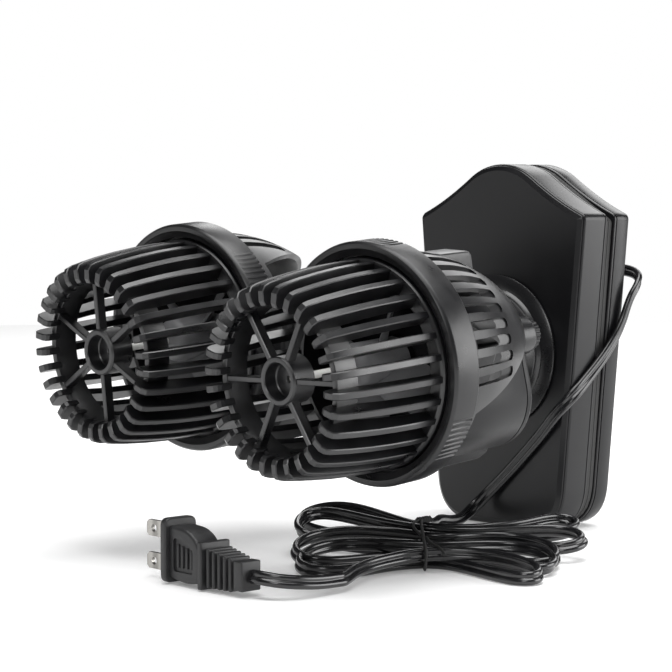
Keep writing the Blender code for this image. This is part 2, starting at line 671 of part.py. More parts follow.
def motor_housing(prefix, head):
    """Sealed motor body: rotor well on the head axis, stator cavity below it, open at the rear."""
    bm = bmesh.new()
    prism(bm, teardrop(LOBE_RADIUS, EAR_RADIUS), HOUSING_REAR, PLATE_REAR, front_view)
    housing = finish(f"{prefix}_motor_housing", bm, soft_black(), head)
    extra = bmesh.new()
    box(extra, (-19.1 * MM, -PLATE_REAR - MM, -LOBE_DROP), (19.1 * MM, -70.2 * MM, 11.3 * MM))
    combine(housing, finish(f"{prefix}_leg_box", extra, soft_black(), head), "UNION")
    rail = bmesh.new()
    box(rail, (-13.0 * MM, -103.0 * MM, -47.8 * MM), (13.0 * MM, -51.0 * MM, -40.0 * MM))
    combine(housing, finish(f"{prefix}_rail", rail, soft_black(), head), "UNION")
    front = bmesh.new()
    disc = [(0.0, PLATE_REAR), (PLATE_RADIUS, PLATE_REAR), (PLATE_RADIUS, PLATE_FRONT), (0.0, PLATE_FRONT)]
    lathe(front, disc)
    combine(housing, finish(f"{prefix}_front_plate", front, soft_black(), head), "UNION")
    hollow = bmesh.new()
    roof = CAVITY_ROOF
    prism(hollow, circle(CAVITY_RADIUS, ROUND, (0.0, -CAVITY_DROP)), HOUSING_REAR - MM, roof, front_view)
    combine(housing, finish(f"{prefix}_stator_cavity", hollow, rubber(), head), "DIFFERENCE")
    legs = bmesh.new()
    box(legs, (-17.3 * MM, -roof, -CAVITY_DROP), (17.3 * MM, -72.0 * MM, 9.5 * MM))
    combine(housing, finish(f"{prefix}_leg_cavity", legs, rubber(), head), "DIFFERENCE")
    barrel = bmesh.new()
    lathe(barrel, millimetres(BARREL_PROFILE), ROUND)
    combine(housing, finish(f"{prefix}_barrel", barrel, soft_black(), head), "UNION")
    bore = bmesh.new()
    lathe(bore, millimetres(WELL_PROFILE), ROUND)
    combine(housing, finish(f"{prefix}_rotor_well", bore, rubber(), head), "DIFFERENCE")
    seat = bmesh.new()
    prism(seat, circle(PIN_RADIUS + GAP), HOUSING_REAR - MM, PIN_FRONT + GAP, front_view)
    return combine(housing, finish(f"{prefix}_pin_seat", seat, rubber(), head), "DIFFERENCE")


def end_cap(prefix, head):
    bm = bmesh.new()
    outline = teardrop(LOBE_RADIUS, EAR_RADIUS)
    prism(bm, outline, CAP_REAR, CAP_FRONT, front_view)
    rim = [e for e in bm.edges if all(abs(v.co.y + CAP_REAR) < GAP / 10 for v in e.verts)]
    bmesh.ops.bevel(bm, geom=rim, offset=CAP_BEVEL, segments=2, affect="EDGES", profile=0.5)
    cap = finish(f"{prefix}_end_cap", bm, soft_black(), head)
    spigot = bmesh.new()
    spigot_radius = CAVITY_RADIUS - GAP
    prism(spigot, circle(spigot_radius, ROUND, (0.0, -CAVITY_DROP)), CAP_FRONT - MM, SPIGOT_FRONT, front_view)
    combine(cap, finish(f"{prefix}_spigot", spigot, soft_black(), head), "UNION")
    hole = bmesh.new()
    prism(hole, circle(PIN_RADIUS + GAP), CAP_REAR - MM, SPIGOT_FRONT + MM, front_view)
    return combine(cap, finish(f"{prefix}_cap_hole", hole, rubber(), head), "DIFFERENCE")


def swivel(prefix, head):
    """The pin a head turns on, its washer against the arm and its nut behind the arm."""
    bm = bmesh.new()
    prism(bm, circle(PIN_RADIUS), PIN_REAR, PIN_FRONT, front_view)
    finish(f"{prefix}_swivel_pin", bm, steel(), head)
    bm = bmesh.new()
    lathe(bm, millimetres(WASHER_PROFILE), ROUND)
    finish(f"{prefix}_swivel_washer", bm, rubber(), head)
    bm = bmesh.new()
    lathe(bm, millimetres(KNOB_PROFILE), PARTS)
    finish(f"{prefix}_swivel_nut", bm, soft_black(), head)


def stator(prefix, head):
    """Laminated U core whose legs straddle the rotor well, and the coil round its base."""
    bm = bmesh.new()
    prism(bm, millimetres(CORE_OUTLINE), CORE_REAR, CORE_FRONT, front_view)
    finish(f"{prefix}_stator_core", bm, material("silicon_steel", (0.32, 0.33, 0.35), 0.45, 0.9), head)
    bm = bmesh.new()
    box(bm, (-8.8 * MM, -96.5 * MM, -37.0 * MM), (8.8 * MM, -73.5 * MM, -18.0 * MM))
    rim = [e for e in bm.edges if abs(e.verts[0].co.x - e.verts[1].co.x) > MM]
    bmesh.ops.bevel(bm, geom=rim, offset=2.5 * MM, segments=2, affect="EDGES", profile=0.5)
    coil = finish(f"{prefix}_coil", bm, material("copper_wire", (0.55, 0.22, 0.08), 0.35, 0.9), head)
    hole = bmesh.new()
    box(hole, (-10.0 * MM, -92.3 * MM, -31.3 * MM), (10.0 * MM, -77.7 * MM, -23.7 * MM))
    combine(coil, finish(f"{prefix}_coil_window", hole, rubber(), head), "DIFFERENCE")


def shaft_and_bushes(prefix, head):
    bm = bmesh.new()
    prism(bm, circle(SHAFT_RADIUS), SHAFT_REAR, SHAFT_FRONT, front_view)
    finish(f"{prefix}_shaft", bm, ceramic(), head)
    bm = bmesh.new()
    lathe(bm, millimetres(REAR_BUSH), PINS)
    finish(f"{prefix}_rear_bush", bm, rubber(), head)
    bm = bmesh.new()
    lathe(bm, millimetres(FRONT_BUSH), PINS)
    finish(f"{prefix}_front_bush", bm, rubber(), head)


def rotor(prefix, head):
    """Magnet rotor and four-bladed propeller, turning on the ceramic shaft."""
    spin = empty(f"{prefix}_rotor", head)
    bm = bmesh.new()
    lathe(bm, millimetres(ROTOR_PROFILE), ROUND)
    finish(f"{prefix}_rotor_magnet", bm, magnet(), spin)
    bm = bmesh.new()
    lathe(bm, millimetres(PROPELLER_HUB), PARTS)
    propeller = finish(f"{prefix}_propeller", bm, material("grey_plastic", (0.35, 0.35, 0.36), 0.4), spin)
    vanes = bmesh.new()
    for i in range(BLADES):
        verts = blade(vanes)
        turned(vanes, verts, TURN * i / BLADES)
    combine(propeller, finish(f"{prefix}_blades", vanes, soft_black(), spin), "UNION")


def blade(bm):
    """A twisted blade, steeper at its root, as a closed strip of cross-sections."""
    sections = []
    for i in range(BLADE_STEPS + 1):
        t = i / BLADE_STEPS
        radius = BLADE_ROOT + (BLADE_TIP - BLADE_ROOT) * t
        pitch = BLADE_LEAN + BLADE_TWIST * (1 - t)
        half = (7.0 + 4.0 * math.sin(math.pi * min(t + 0.25, 1.0) * 0.8)) * MM
        thick = (1.3 - 0.5 * t) * MM
        along = Vector((math.cos(pitch), -math.sin(pitch), 0.0))
        across = Vector((math.sin(pitch), math.cos(pitch), 0.0))
        centre = Vector((0.0, -BLADE_AHEAD, radius))
        corners = ((-half, -thick), (half, -thick), (half, thick), (-half, thick))
        sections.append([bm.verts.new(centre + along * a + across * b) for a, b in corners])
    bm.faces.new(sections[0][::-1])
    bm.faces.new(sections[-1])
    for first, second in zip(sections, sections[1:]):
        for j in range(4):
            k = (j + 1) % 4
            bm.faces.new((first[j], first[k], second[k], second[j]))
    return [v for section in sections for v in section]


def make_head(prefix, side, spin, cage_turn, arm):
    place = (side * HEAD_SPAN, 0.0, HEAD_RISE)
    head = empty(f"{prefix}_head", arm, place, (0.0, spin, 0.0))
    ring = empty(f"{prefix}_ring", head)
    front_grille(prefix, empty(f"{prefix}_cage", head, (0, 0, 0), (0.0, cage_turn, 0.0)))
    lock_ring(prefix, ring)
    rear_shroud(prefix, head)
    motor_housing(prefix, head)
    end_cap(prefix, head)
    swivel(prefix, head)
    stator(prefix, head)
    shaft_and_bushes(prefix, head)
    rotor(prefix, head)


# ---------------------------------------------------------------- cord and plug

def tube(name, route):
    """A plain round stand-in along a stretch of the flat cord."""
    curve = bpy.data.curves.new(name, "CURVE")
    curve.dimensions = "3D"
    curve.bevel_depth = CORD_TUBE_RADIUS
    curve.bevel_resolution = 2
    curve.use_fill_caps = True
    spline = curve.splines.new("POLY")
    spline.points.add(len(route) - 1)
    for point, place in zip(spline.points, route):
        point.co = (*(Vector(place) * MM), 1.0)
    curve.materials.append(rubber())
    made = bpy.data.objects.new(name, curve)
    bpy.context.scene.collection.objects.link(made)


def hank():
    """Outer shape of the tied hank: fanned lobes both sides of the waist, one of them stacked higher."""
    lump = bmesh.new()
    hank_layer(lump, HANK_STACK, HANK_HEIGHT / 2, HANK_LOBE_HEIGHT)
    bm = bmesh.new()
    hank_layer(bm, HANK_OUTLINE, 0.0, HANK_HEIGHT)
    main_lump = finish("cord_hank", bm, rubber())
    combine(main_lump, finish("cord_hank_lobe", lump, rubber()), "UNION")


def hank_layer(bm, outline, bottom, top):
    """One level of the hank, with its upper edge bevelled."""
    verts = prism(bm, millimetres(outline), bottom, top, plan_view)
    bmesh.ops.rotate(bm, verts=verts, cent=(0, 0, 0), matrix=Matrix.Rotation(HANK_TURN, 3, "Z"))
    bmesh.ops.translate(bm, verts=verts, vec=HANK_CENTRE)
    rim = [e for e in bm.edges if all(abs(v.co.z - top) < GAP for v in e.verts)]
    bmesh.ops.bevel(bm, geom=rim, offset=2.0 * MM, segments=1, affect="EDGES")


def gland():
    profile = [(0.0, 38.6), (4.0, 38.6), (4.0, 43.4), (6.6, 43.4), (6.6, 45.4), (5.2, 45.8), (4.2, 56.0)]
    bm = bmesh.new()
    verts = lathe(bm, millimetres(profile + [(0.0, 56.0)]), PINS)
    turned(bm, verts, -math.pi / 2, (0, 0, 0), "Z")
    bmesh.ops.translate(bm, verts=verts, vec=(0.0, 0.0, GLAND_Z))
    finish("cord_gland", bm, rubber())


def plug_frame():
    """Empty at the cord end of the plug; local -X runs to the blades."""
    return empty("plug", None, PLUG_END, (0.0, 0.0, PLUG_TURN))


def plug(frame):
    low_z = PLUG_MIDDLE - FLANGE_HALF
    high_z = PLUG_MIDDLE + FLANGE_HALF
    bm = bmesh.new()
    box(bm, (PLUG_FACE, -7.6 * MM, low_z), (-42.8 * MM, 7.6 * MM, high_z))
    rim = list(bm.edges)
    bmesh.ops.bevel(bm, geom=rim, offset=1.0 * MM, segments=1, affect="EDGES")
    body = finish("plug_body", bm, soft_black(), frame)
    grip = bmesh.new()
    outline = [(-43.0, 2.6), (-33.0, 1.2), (-24.2, 2.4), (-24.2, 15.6), (-28.0, 19.8), (-33.0, 22.0)]
    outline += [(-43.0, 22.8)]
    prism(grip, millimetres(outline), -5.6 * MM, 5.6 * MM, lambda a, b, c: (a, c, b))
    combine(body, finish("plug_grip", grip, soft_black(), frame), "UNION")
    recess = bmesh.new()
    for side in (-1, 1):
        near, far = sorted((side * 5.0 * MM, side * 9.0 * MM))
        box(recess, (-39.0 * MM, near, 6.0 * MM), (-29.0 * MM, far, 15.0 * MM))
    combine(body, finish("plug_recess", recess, soft_black(), frame), "DIFFERENCE")
    for place, side in (("upper", 1), ("lower", -1)):
        prong(f"plug_blade_{place}", PLUG_MIDDLE + side * BLADE_PITCH / 2, frame)


def prong(name, z, frame):
    """One flat blade of the plug, chamfered at its tip, with its hole."""
    root = PLUG_FACE - GAP
    tip = root - BLADE_LENGTH
    half_thick = 0.75 * MM
    half_wide = 3.15 * MM
    bm = bmesh.new()
    box(bm, (tip, -half_thick, z - half_wide), (root, half_thick, z + half_wide))
    front = [e for e in bm.edges if all(v.co.x < tip + GAP for v in e.verts)]
    front = [e for e in front if abs(e.verts[0].co.y - e.verts[1].co.y) > GAP]
    bmesh.ops.bevel(bm, geom=front, offset=1.2 * MM, segments=1, affect="EDGES")
    made = finish(name, bm, steel(), frame)
    hole = bmesh.new()
    prism(hole, circle(1.6 * MM, 12, (tip + 4.5 * MM, z)), -3 * MM, 3 * MM, lambda a, b, c: (a, c, b))
    combine(made, finish(f"{name}_hole", hole, steel(), frame), "DIFFERENCE")


def strain_relief(frame):
    """Second flange, ribbed boot and end block between the plug and the cord."""
    bm = bmesh.new()
    core_low, core_high = 3.6 * MM, 12.8 * MM
    box(bm, (-23.7 * MM, -3.6 * MM, core_low), (-MM, 3.6 * MM, core_high))
    boot = finish("plug_strain_relief", bm, rubber(), frame)
    ribs = bmesh.new()
    box(ribs, (-23.9 * MM, -7.0 * MM, 0.6 * MM), (-21.4 * MM, 7.0 * MM, 18.6 * MM))
    for i in range(RIBS):
        rear = -19.8 * MM + RIB_PITCH * i
        half = (6.0 - 0.3 * i) * MM
        box(ribs, (rear, -half, 1.6 * MM), (rear + RIB_THICK, half, RIB_TOP - 0.5 * i * MM))
    box(ribs, (-5.4 * MM, -4.6 * MM, 2.4 * MM), (-0.3 * MM, 4.6 * MM, 13.6 * MM))
    combine(boot, finish("plug_ribs", ribs, rubber(), frame), "UNION")


def twist_tie():
    """The wire tie that holds the hank: a strap over its waist, twisted into a knot."""
    frame = empty("tie", None, HANK_CENTRE, (0.0, 0.0, HANK_TURN))
    bm = bmesh.new()
    top = HANK_HEIGHT + GAP
    box(bm, (-5.9 * MM, -20.0 * MM, top), (-4.1 * MM, 20.0 * MM, top + 0.9 * MM))
    strap = finish("twist_tie", bm, rubber(), frame)
    knot = bmesh.new()
    lathe(knot, millimetres([(0.0, -3.4), (2.2, -2.4), (2.2, 2.4), (0.0, 3.4)]), 10)
    bmesh.ops.translate(knot, verts=knot.verts, vec=(-5.0 * MM, 16.0 * MM, top + 2.2 * MM))
    combine(strap, finish("tie_knot", knot, rubber(), frame), "UNION")


# ---------------------------------------------------------------- whole object

def shift_to_grip():
    """Puts the origin where the glass is gripped."""
    base = empty("pump", None, -GRIP)
    for obj in bpy.data.objects:
        if obj.parent is None and obj is not base:
            obj.parent = base


def main():
    clear_scene()
    wet_half()
    dry_half()
    socket()
    tilt = ball_liner()
    pan = empty("ball_pan", tilt)
    ball_stud(pan)
    arm = empty("pump_arm", pan, (0, 0, 0), (0.0, ARM_ROLL, 0.0))
    stud_nut(arm)
    crossbar(arm)
    make_head("right", 1, RIGHT_SPIN, 0.0, arm)
    make_head("left", -1, LEFT_SPIN, LEFT_CAGE_TURN, arm)
    gland()
    tube("cord_lead", LEAD_ROUTE)
    hank()
    tube("cord_to_plug", PLUG_ROUTE)
    twist_tie()
    frame = plug_frame()
    plug(frame)
    strain_relief(frame)
    shift_to_grip()


main()
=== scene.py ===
import math

import bmesh
import bpy
import numpy as np
from mathutils import Matrix, Vector


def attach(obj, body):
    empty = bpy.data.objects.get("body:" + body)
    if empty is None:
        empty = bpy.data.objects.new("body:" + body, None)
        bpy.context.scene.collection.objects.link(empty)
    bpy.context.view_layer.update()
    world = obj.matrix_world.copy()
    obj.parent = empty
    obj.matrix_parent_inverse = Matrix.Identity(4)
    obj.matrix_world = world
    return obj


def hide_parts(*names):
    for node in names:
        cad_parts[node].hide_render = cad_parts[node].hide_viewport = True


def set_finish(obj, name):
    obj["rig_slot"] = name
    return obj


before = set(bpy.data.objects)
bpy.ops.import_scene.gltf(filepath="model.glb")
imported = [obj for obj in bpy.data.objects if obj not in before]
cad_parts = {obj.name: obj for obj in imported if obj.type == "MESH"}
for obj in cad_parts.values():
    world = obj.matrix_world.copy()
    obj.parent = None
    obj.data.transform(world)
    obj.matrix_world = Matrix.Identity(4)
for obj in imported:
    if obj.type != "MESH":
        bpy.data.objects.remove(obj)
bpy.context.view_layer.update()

MM = 0.001
TURN = 2 * math.pi
GRIP = Vector((0.0, 11.15, 80.0))  # from the middle of the mount's foot to the origin
FLOOR_Z = -80.0

# Mount
APEX_Z = 162.0
APEX_RADIUS = 32.0
ROOF_ANGLE = math.radians(35.0)
ROOF_END = math.radians(23.0)  # the roof flattens towards the shoulder
SHOULDER_Z = 140.6
SHOULDER_HALF = 48.2
SHOULDER_RADIUS = 3.2
HIP_Z = 18.3
HIP_HALF = 37.7
HIP_BOW = 5.0
FOOT_HALF = 20.0
# (inset from the outline, Y) of each half: front face to lip, and lip to back face with its sunk border line
WET_PROFILE = (
    (3.1, -8.75), (2.9, -8.75), (2.5, -8.5), (1.0, -7.5), (0.8, -7.1), (0.85, -6.9), (0.5, -6.75),
    (0.15, -6.3), (0.0, -5.6), (0.0, 6.9), (0.1, 7.0), (0.5, 7.05), (0.55, 7.35), (0.15, 7.5), (0.05, 7.7),
    (0.1, 8.4), (0.35, 8.7), (0.9, 8.75), (2.55, 8.75), (2.6, 7.0),
)
DRY_PROFILE = (
    (2.6, 15.5), (2.55, 13.85), (0.9, 13.85), (0.4, 13.95), (0.15, 14.3), (0.1, 15.0), (0.2, 15.15),
    (0.55, 15.25), (0.55, 15.55), (0.1, 15.65), (0.0, 15.9), (0.0, 22.6), (0.3, 23.8), (1.2, 24.65),
    (1.9, 24.9), (2.1, 24.9), (2.25, 24.6), (2.6, 24.6), (2.75, 24.9), (3.1, 24.9),
)

# Ball joint and arm
BALL = Vector((0.0, -21.2, 78.6)) - GRIP
BALL_RADIUS = 9.0
SEAT_RADIUS = 11.1
CUP_RADIUS = 26.4
NECK_RADIUS = 4.5
ARM_TILT = math.radians(4.6)
ARM_ROLL = math.radians(3.0)
BAR_HALF_HEIGHT = 6.5
HUB_RADIUS = 8.0
HEAD_SPAN = 53.0
HEAD_RISE = 16.9
SPINS = {"right": math.radians(19.8), "left": math.radians(-51.6)}
CAGE_TURNS = {"right": 0.0, "left": math.radians(-19.0)}
SIDES = {"right": 1, "left": -1}

# Heads
FINS = 30
FIN_THICK = 2.8
SPOKES = 6
SPOKE_PHASE = math.radians(6.0)
COLLAR_RADIUS = 48.0
NOTCH_GROUPS = 3
NOTCHES = 8
NOTCH_PITCH = 3.0  # this and the next two in degrees
NOTCH_HALF_WIDTH = 0.95
NOTCH_PHASE = -18.0
NOTCH_DEPTH = 0.8
SLOT_PITCH = math.radians(9.5)
SLOTS_EACH_SIDE = 8
SLOT_HALF_WIDTH = 1.9
SCOOP_START = 81.6
SCOOP_RADIUS = 37.0
CUT_AHEAD = 97.0  # the bell's rear is sliced off by a plane through here
CUT_SLOPE = 0.36
LOBE_DROP = 24.0
LOBE_RADIUS = 23.3
EAR_RADIUS = 10.4
BLADES = 4

# Cord: flat twin lead
CORE_RADIUS = 1.4
CORE_OFFSET = 1.3
CORD_STEP = 1.4
TIE_RADIUS = 0.62
HANK_CENTRE = Vector((52.0, -105.0, 0.0))
HANK_TURN = math.radians(45.0)
HANK_PRESS = 0.84  # the loops settle under their own weight
FLOOR_CLEAR = 2.8
GLAND_HEIGHT = 70.0
PLUG_END = Vector((56.0, -208.6, 0.0))
PLUG_TURN = math.radians(-3.0)
LEAD_ROUTE = (
    (-56.3, 0.0, 70.0), (-61.0, 0.8, 70.6), (-65.0, 4.6, 72.4), (-66.4, 11.0, 75.6), (-65.4, 18.5, 79.6),
    (-62.0, 25.6, 84.4), (-56.4, 31.0, 89.4), (-48.6, 34.6, 94.2), (-39.0, 36.2, 98.8), (-28.6, 36.6, 102.8),
    (-17.6, 36.6, 106.4), (-6.4, 36.6, 109.6), (5.0, 36.6, 112.2), (16.2, 36.6, 114.0), (26.8, 36.6, 114.8),
    (35.8, 36.5, 114.6), (42.2, 35.6, 113.4), (46.6, 33.2, 111.2), (48.5, 29.2, 107.8), (48.4, 25.6, 103.6),
    (47.7, 23.6, 98.9), (46.9, 22.0, 93.6), (46.1, 19.4, 88.2), (45.4, 15.8, 82.9), (44.8, 11.2, 77.6),
    (44.3, 6.2, 72.8), (43.8, 0.6, 68.0), (43.6, -5.2, 63.4), (41.8, -9.8, 58.8), (37.4, -11.2, 54.0),
    (32.8, -11.2, 49.0), (27.8, -10.9, 43.6), (22.6, -10.8, 38.4), (17.2, -10.7, 33.2), (11.8, -10.7, 28.0),
    (6.2, -10.8, 22.8), (1.0, -11.2, 17.9), (-3.6, -12.4, 13.2), (-6.4, -15.6, 9.0), (-6.6, -20.8, 6.0),
    (-4.0, -27.6, 4.8), (0.0, -35.0, 5.0), (4.6, -43.0, 5.9), (9.6, -51.0, 7.2), (14.8, -58.8, 8.7),
    (20.2, -66.4, 10.2), (25.6, -73.8, 11.4), (30.4, -80.6, 12.6),
)
PLUG_ROUTE = (
    (70.4, -168.6, 5.2), (71.2, -174.6, 5.0), (71.6, -180.4, 5.0), (71.8, -186.2, 5.2), (71.6, -192.0, 5.6),
    (70.6, -197.6, 6.2), (68.6, -202.6, 6.8), (65.4, -206.2, 7.4), (61.0, -208.2, 7.9), (56.4, -208.6, 8.0),
)
# Along and across the hank, and height: one loop after another, from the lead to the plug
HANK_ROUTE = (
    (0.6, 25.0, 13.6), (-7, 17, 14.0), (-13, 14, 11.5), (-22, 12, 8.6), (-36, 14, 6.6), (-46, 20, 5.2),
    (-50, 30, 4.4), (-45, 39, 4.8), (-34, 35, 5.6), (-20, 26, 7.0), (-7, 18, 8.5), (4, 16, 8.2),
    (18, 16, 8.0), (34, 20, 8.2), (48, 24, 8.6), (56, 27.5, 9.8), (61, 32, 11.2), (60.5, 38, 12.9),
    (55.5, 41, 14.2), (48, 36, 14.6), (37, 26, 13.6), (19, 17, 12.6), (0, 14, 13.3), (-7, 14, 14.4),
    (-16, 24, 15.8), (-28, 37, 18.3), (-37, 42, 19.7), (-45, 45.5, 18.6), (-52, 46.5, 16.4),
    (-56, 42.5, 13.2), (-53, 36, 10.2),
    (-45, 31, 8.6), (-34, 26, 7.6), (-20, 20, 6.8), (-5, 10, 6.0), (6, 6, 5.8), (22, 6, 5.6), (38, 6, 5.8),
    (50, 1, 6.6), (57.5, 2, 8.0), (61.5, 8, 9.8), (59, 15.5, 11.2), (51, 20, 12.2), (36, 16, 12.4),
    (19, 8, 12.6), (0, 4, 13.6), (-7, 6, 14.6), (-20, 16, 15.3), (-32, 27, 16.6), (-42, 35, 17.8),
    (-50, 38, 17.4), (-55, 30, 15.4), (-56, 18, 12.8), (-53, 11, 10.6), (-46, 14, 7.6), (-34, 18, 4.4),
    (-20, 15, 3.3), (-5, 8, 3.0), (10, 0, 3.0), (25, -10, 2.9), (37, -20, 2.9), (45, -20, 3.4),
    (48.5, -11, 5.6), (46, -1, 8.0), (34, 9, 10.0), (19, 8, 10.6), (2, -2, 11.6), (-7, 3, 12.2),
    (-20, 9, 12.6), (-35, 13, 12.8), (-47, 9, 11.8), (-54, 2, 10.2), (-57, -8, 8.2), (-55, -18, 6.2),
    (-48, -24, 4.6), (-37, -18, 3.6), (-20, -4, 3.1), (-5, 0, 3.0), (10, -9, 3.0), (24, -22, 2.9),
    (35, -33, 2.9), (43, -32, 3.4), (46, -22, 5.2), (42, -11, 7.0), (33, -3, 8.0), (19, -3, 8.4),
    (2, -9, 8.8), (-7, -8, 9.3), (-20, -5, 9.4), (-35, 1, 9.0), (-46, -4, 8.2), (-53, -14, 6.4),
    (-55, -26, 4.4), (-50, -37, 3.1), (-41, -38, 2.8), (-30, -31, 2.8), (-19, -19, 2.8), (-5, -12, 2.9),
    (6, -17, 2.8), (17, -33, 2.8), (25, -46, 2.8), (32, -52.5, 2.8), (38, -49, 3.2), (38.5, -40, 4.6),
    (32, -31, 6.4), (22, -24, 7.8), (8, -19.5, 8.2), (-7, -21.5, 8.0), (-18, -28, 7.0), (-27, -38, 6.2),
    (-33, -49, 5.6),
)

# Camera, in metres and degrees, and the table
CAMERA_PLACE = Vector((0.651, -0.76265, 0.0674))
CAMERA_AZIMUTH = 45.42
CAMERA_PITCH = 3.61
LENS_MM = 118.2
SENSOR_MM = 36.0
TABLE_RADIUS = 1.6


# ---------------------------------------------------------------- meshes

def circle(radius, facets):
    angles = [TURN * i / facets for i in range(facets)]
    return [(radius * math.cos(a), radius * math.sin(a)) for a in angles]


def arc(centre, radius, start, end, steps):
    angles = [start + (end - start) * i / steps for i in range(steps + 1)]
    return [(centre[0] + radius * math.cos(a), centre[1] + radius * math.sin(a)) for a in angles]


def softened(outline, radius, steps=3):
    """The outline with every corner rounded off, as a mould leaves it."""
    found = []
    count = len(outline)
    for i, corner in enumerate(outline):
        here = Vector(corner)
        back = Vector(outline[i - 1]) - here
        on = Vector(outline[(i + 1) % count]) - here
        reach = min(radius, 0.45 * back.length, 0.45 * on.length)
        first = here + back.normalized() * reach
        last = here + on.normalized() * reach
        for k in range(steps + 1):
            t = k / steps
            point = first * (1 - t) ** 2 + here * 2 * t * (1 - t) + last * t * t
            found.append((point.x, point.y))
    return found


def revolve(bm, profile, facets=96, place=None, closed=True, cut=None):
    """Spins (radius, ahead) points about the head axis. cut gives how much radius is lost at each point."""
    rings = []
    for radius, ahead in profile:
        if radius < 1e-6:
            rings.append([bm.verts.new((0.0, -ahead, 0.0))])
            continue
        ring = []
        for i in range(facets):
            a = TURN * i / facets
            here = radius - cut(radius, ahead, i) if cut else radius
            ring.append(bm.verts.new((here * math.sin(a), -ahead, here * math.cos(a))))
        rings.append(ring)
    pairs = list(zip(rings, rings[1:] + rings[:1]))
    for first, second in pairs if closed else pairs[:-1]:
        bridge(bm, first, second)
    if place:
        bmesh.ops.transform(bm, matrix=place, verts=[v for ring in rings for v in ring])


def bridge(bm, first, second):
    """Faces between two rings, either of which may be a single point."""
    count = max(len(first), len(second))
    if count == 1:
        return
    for i in range(count):
        j = (i + 1) % count
        corners = [first[i % len(first)], first[j % len(first)]]
        corners += [second[j % len(second)], second[i % len(second)]]
        bm.faces.new(list(dict.fromkeys(corners)))


def prism(bm, outline, low, high, place):
    """A straight bar; place(a, b, c) turns outline and length into a point."""
    ends = [[bm.verts.new(place(a, b, end)) for a, b in outline] for end in (low, high)]
    bm.faces.new(ends[0])
    bm.faces.new(ends[1][::-1])
    bridge(bm, ends[0], ends[1])


def front_view(a, b, c):
    """Outline across and up, length ahead."""
    return (a, -c, b)


def side_view(a, b, c):
    """Outline up and ahead, length across."""
    return (c, -b, a)


def top_view(a, b, c):
    """Outline across and ahead, length up."""
    return (a, -b, c)


def along_y(a, b, c):
    """Outline along X and Z, length along Y."""
    return (a, c, b)


def along_x(a, b, c):
    """Outline along Y and Z, length along X."""
    return (c, a, b)


def box(bm, low, high):
    outline = ((low[0], low[1]), (high[0], low[1]), (high[0], high[1]), (low[0], high[1]))
    prism(bm, outline, low[2], high[2], lambda x, y, z: (x, y, z))


def rounded(bm, width, degrees, segments):
    """Rounds every edge sharper than this."""
    bmesh.ops.recalc_face_normals(bm, faces=bm.faces)
    limit = math.radians(degrees)
    edges = [e for e in bm.edges if len(e.link_faces) == 2 and e.calc_face_angle(0.0) > limit]
    bmesh.ops.bevel(
        bm, geom=edges, offset=width, segments=segments, affect="EDGES", profile=0.5, clamp_overlap=True
    )
    return bm


def merged(bm, part, place=None):
    """Copies part into bm, moved by place."""
    mesh = bpy.data.meshes.new("part")
    part.to_mesh(mesh)
    if place:
        mesh.transform(place)
    bm.from_mesh(mesh)
    bpy.data.meshes.remove(mesh)


def around(angle):
    return Matrix.Rotation(angle, 4, "Y")


def smoothed(line, times):
    """Draws each inner point of the line towards its neighbours, this many times."""
    for _ in range(times):
        line[1:-1] = 0.25 * line[:-2] + 0.5 * line[1:-1] + 0.25 * line[2:]


def curve_through(points, step):
    """A smooth line that passes close to these points, with its own points this far apart."""
    p = np.array(points, float)
    p = np.vstack([2 * p[0] - p[1], p, 2 * p[-1] - p[-2]])
    line = []
    for a, b, c, d in zip(p, p[1:], p[2:], p[3:]):
        for t in np.linspace(0, 1, 12, endpoint=False):
            square = (2 * a - 5 * b + 4 * c - d) * t * t
            cube = (3 * b - a - 3 * c + d) * t**3
            line.append(0.5 * (2 * b + (c - a) * t + square + cube))
    line.append(p[-2])
    line = np.array(line)
    smoothed(line, 10)
    along = np.concatenate([[0], np.cumsum(np.linalg.norm(np.diff(line, axis=0), axis=1))])
    at = np.linspace(0, along[-1], int(along[-1] / step) + 1)
    return np.stack([np.interp(at, along, line[:, k]) for k in range(3)], axis=1)


def unit(rows):
    """Each row at length 1."""
    return rows / np.maximum(np.linalg.norm(rows, axis=-1, keepdims=True), 1e-9)


def sweep(bm, line, section, normals):
    """A closed tube with this (wide, thin) section; normals give its thin direction."""
    tangent = unit(np.gradient(line, axis=0))
    wide = unit(np.cross(tangent, normals))
    thin = np.cross(wide, tangent)
    rings = []
    for centre, w, n in zip(line, wide, thin):
        rings.append([bm.verts.new(centre + w * a + n * b) for a, b in section])
    for first, second in zip(rings, rings[1:]):
        bridge(bm, first, second)
    bm.faces.new(rings[0])
    bm.faces.new(rings[-1][::-1])


def wire(bm, points, radius):
    """Round wire along a smooth line."""
    line = curve_through(points, 0.8)
    tangent = unit(np.gradient(line, axis=0))
    aside = np.where(np.abs(tangent[:, :1]) < 0.8, [[1.0, 0.2, 0.1]], [[0.1, 1.0, 0.2]])
    sweep(bm, line, circle(radius, 10), aside)


def piece(name, bm, look, body, place=None, stands_for=(), sharp=35.0):
    """Makes the bmesh a named piece that rides on a body and stands for CAD nodes."""
    bmesh.ops.remove_doubles(bm, verts=bm.verts, dist=0.0005)
    bmesh.ops.recalc_face_normals(bm, faces=bm.faces)
    bmesh.ops.scale(bm, verts=bm.verts, vec=(MM, MM, MM))
    mesh = bpy.data.meshes.new(name)
    bm.to_mesh(mesh)
    bm.free()
    made = bpy.data.objects.new(name, mesh)
    bpy.context.scene.collection.objects.link(made)
    mesh.materials.append(look)
    crease(mesh, sharp)
    if place:
        mesh.transform(place)
    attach(made, body)
    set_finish(made, look["slot"])
    if stands_for:
        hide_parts(*stands_for)
    return made


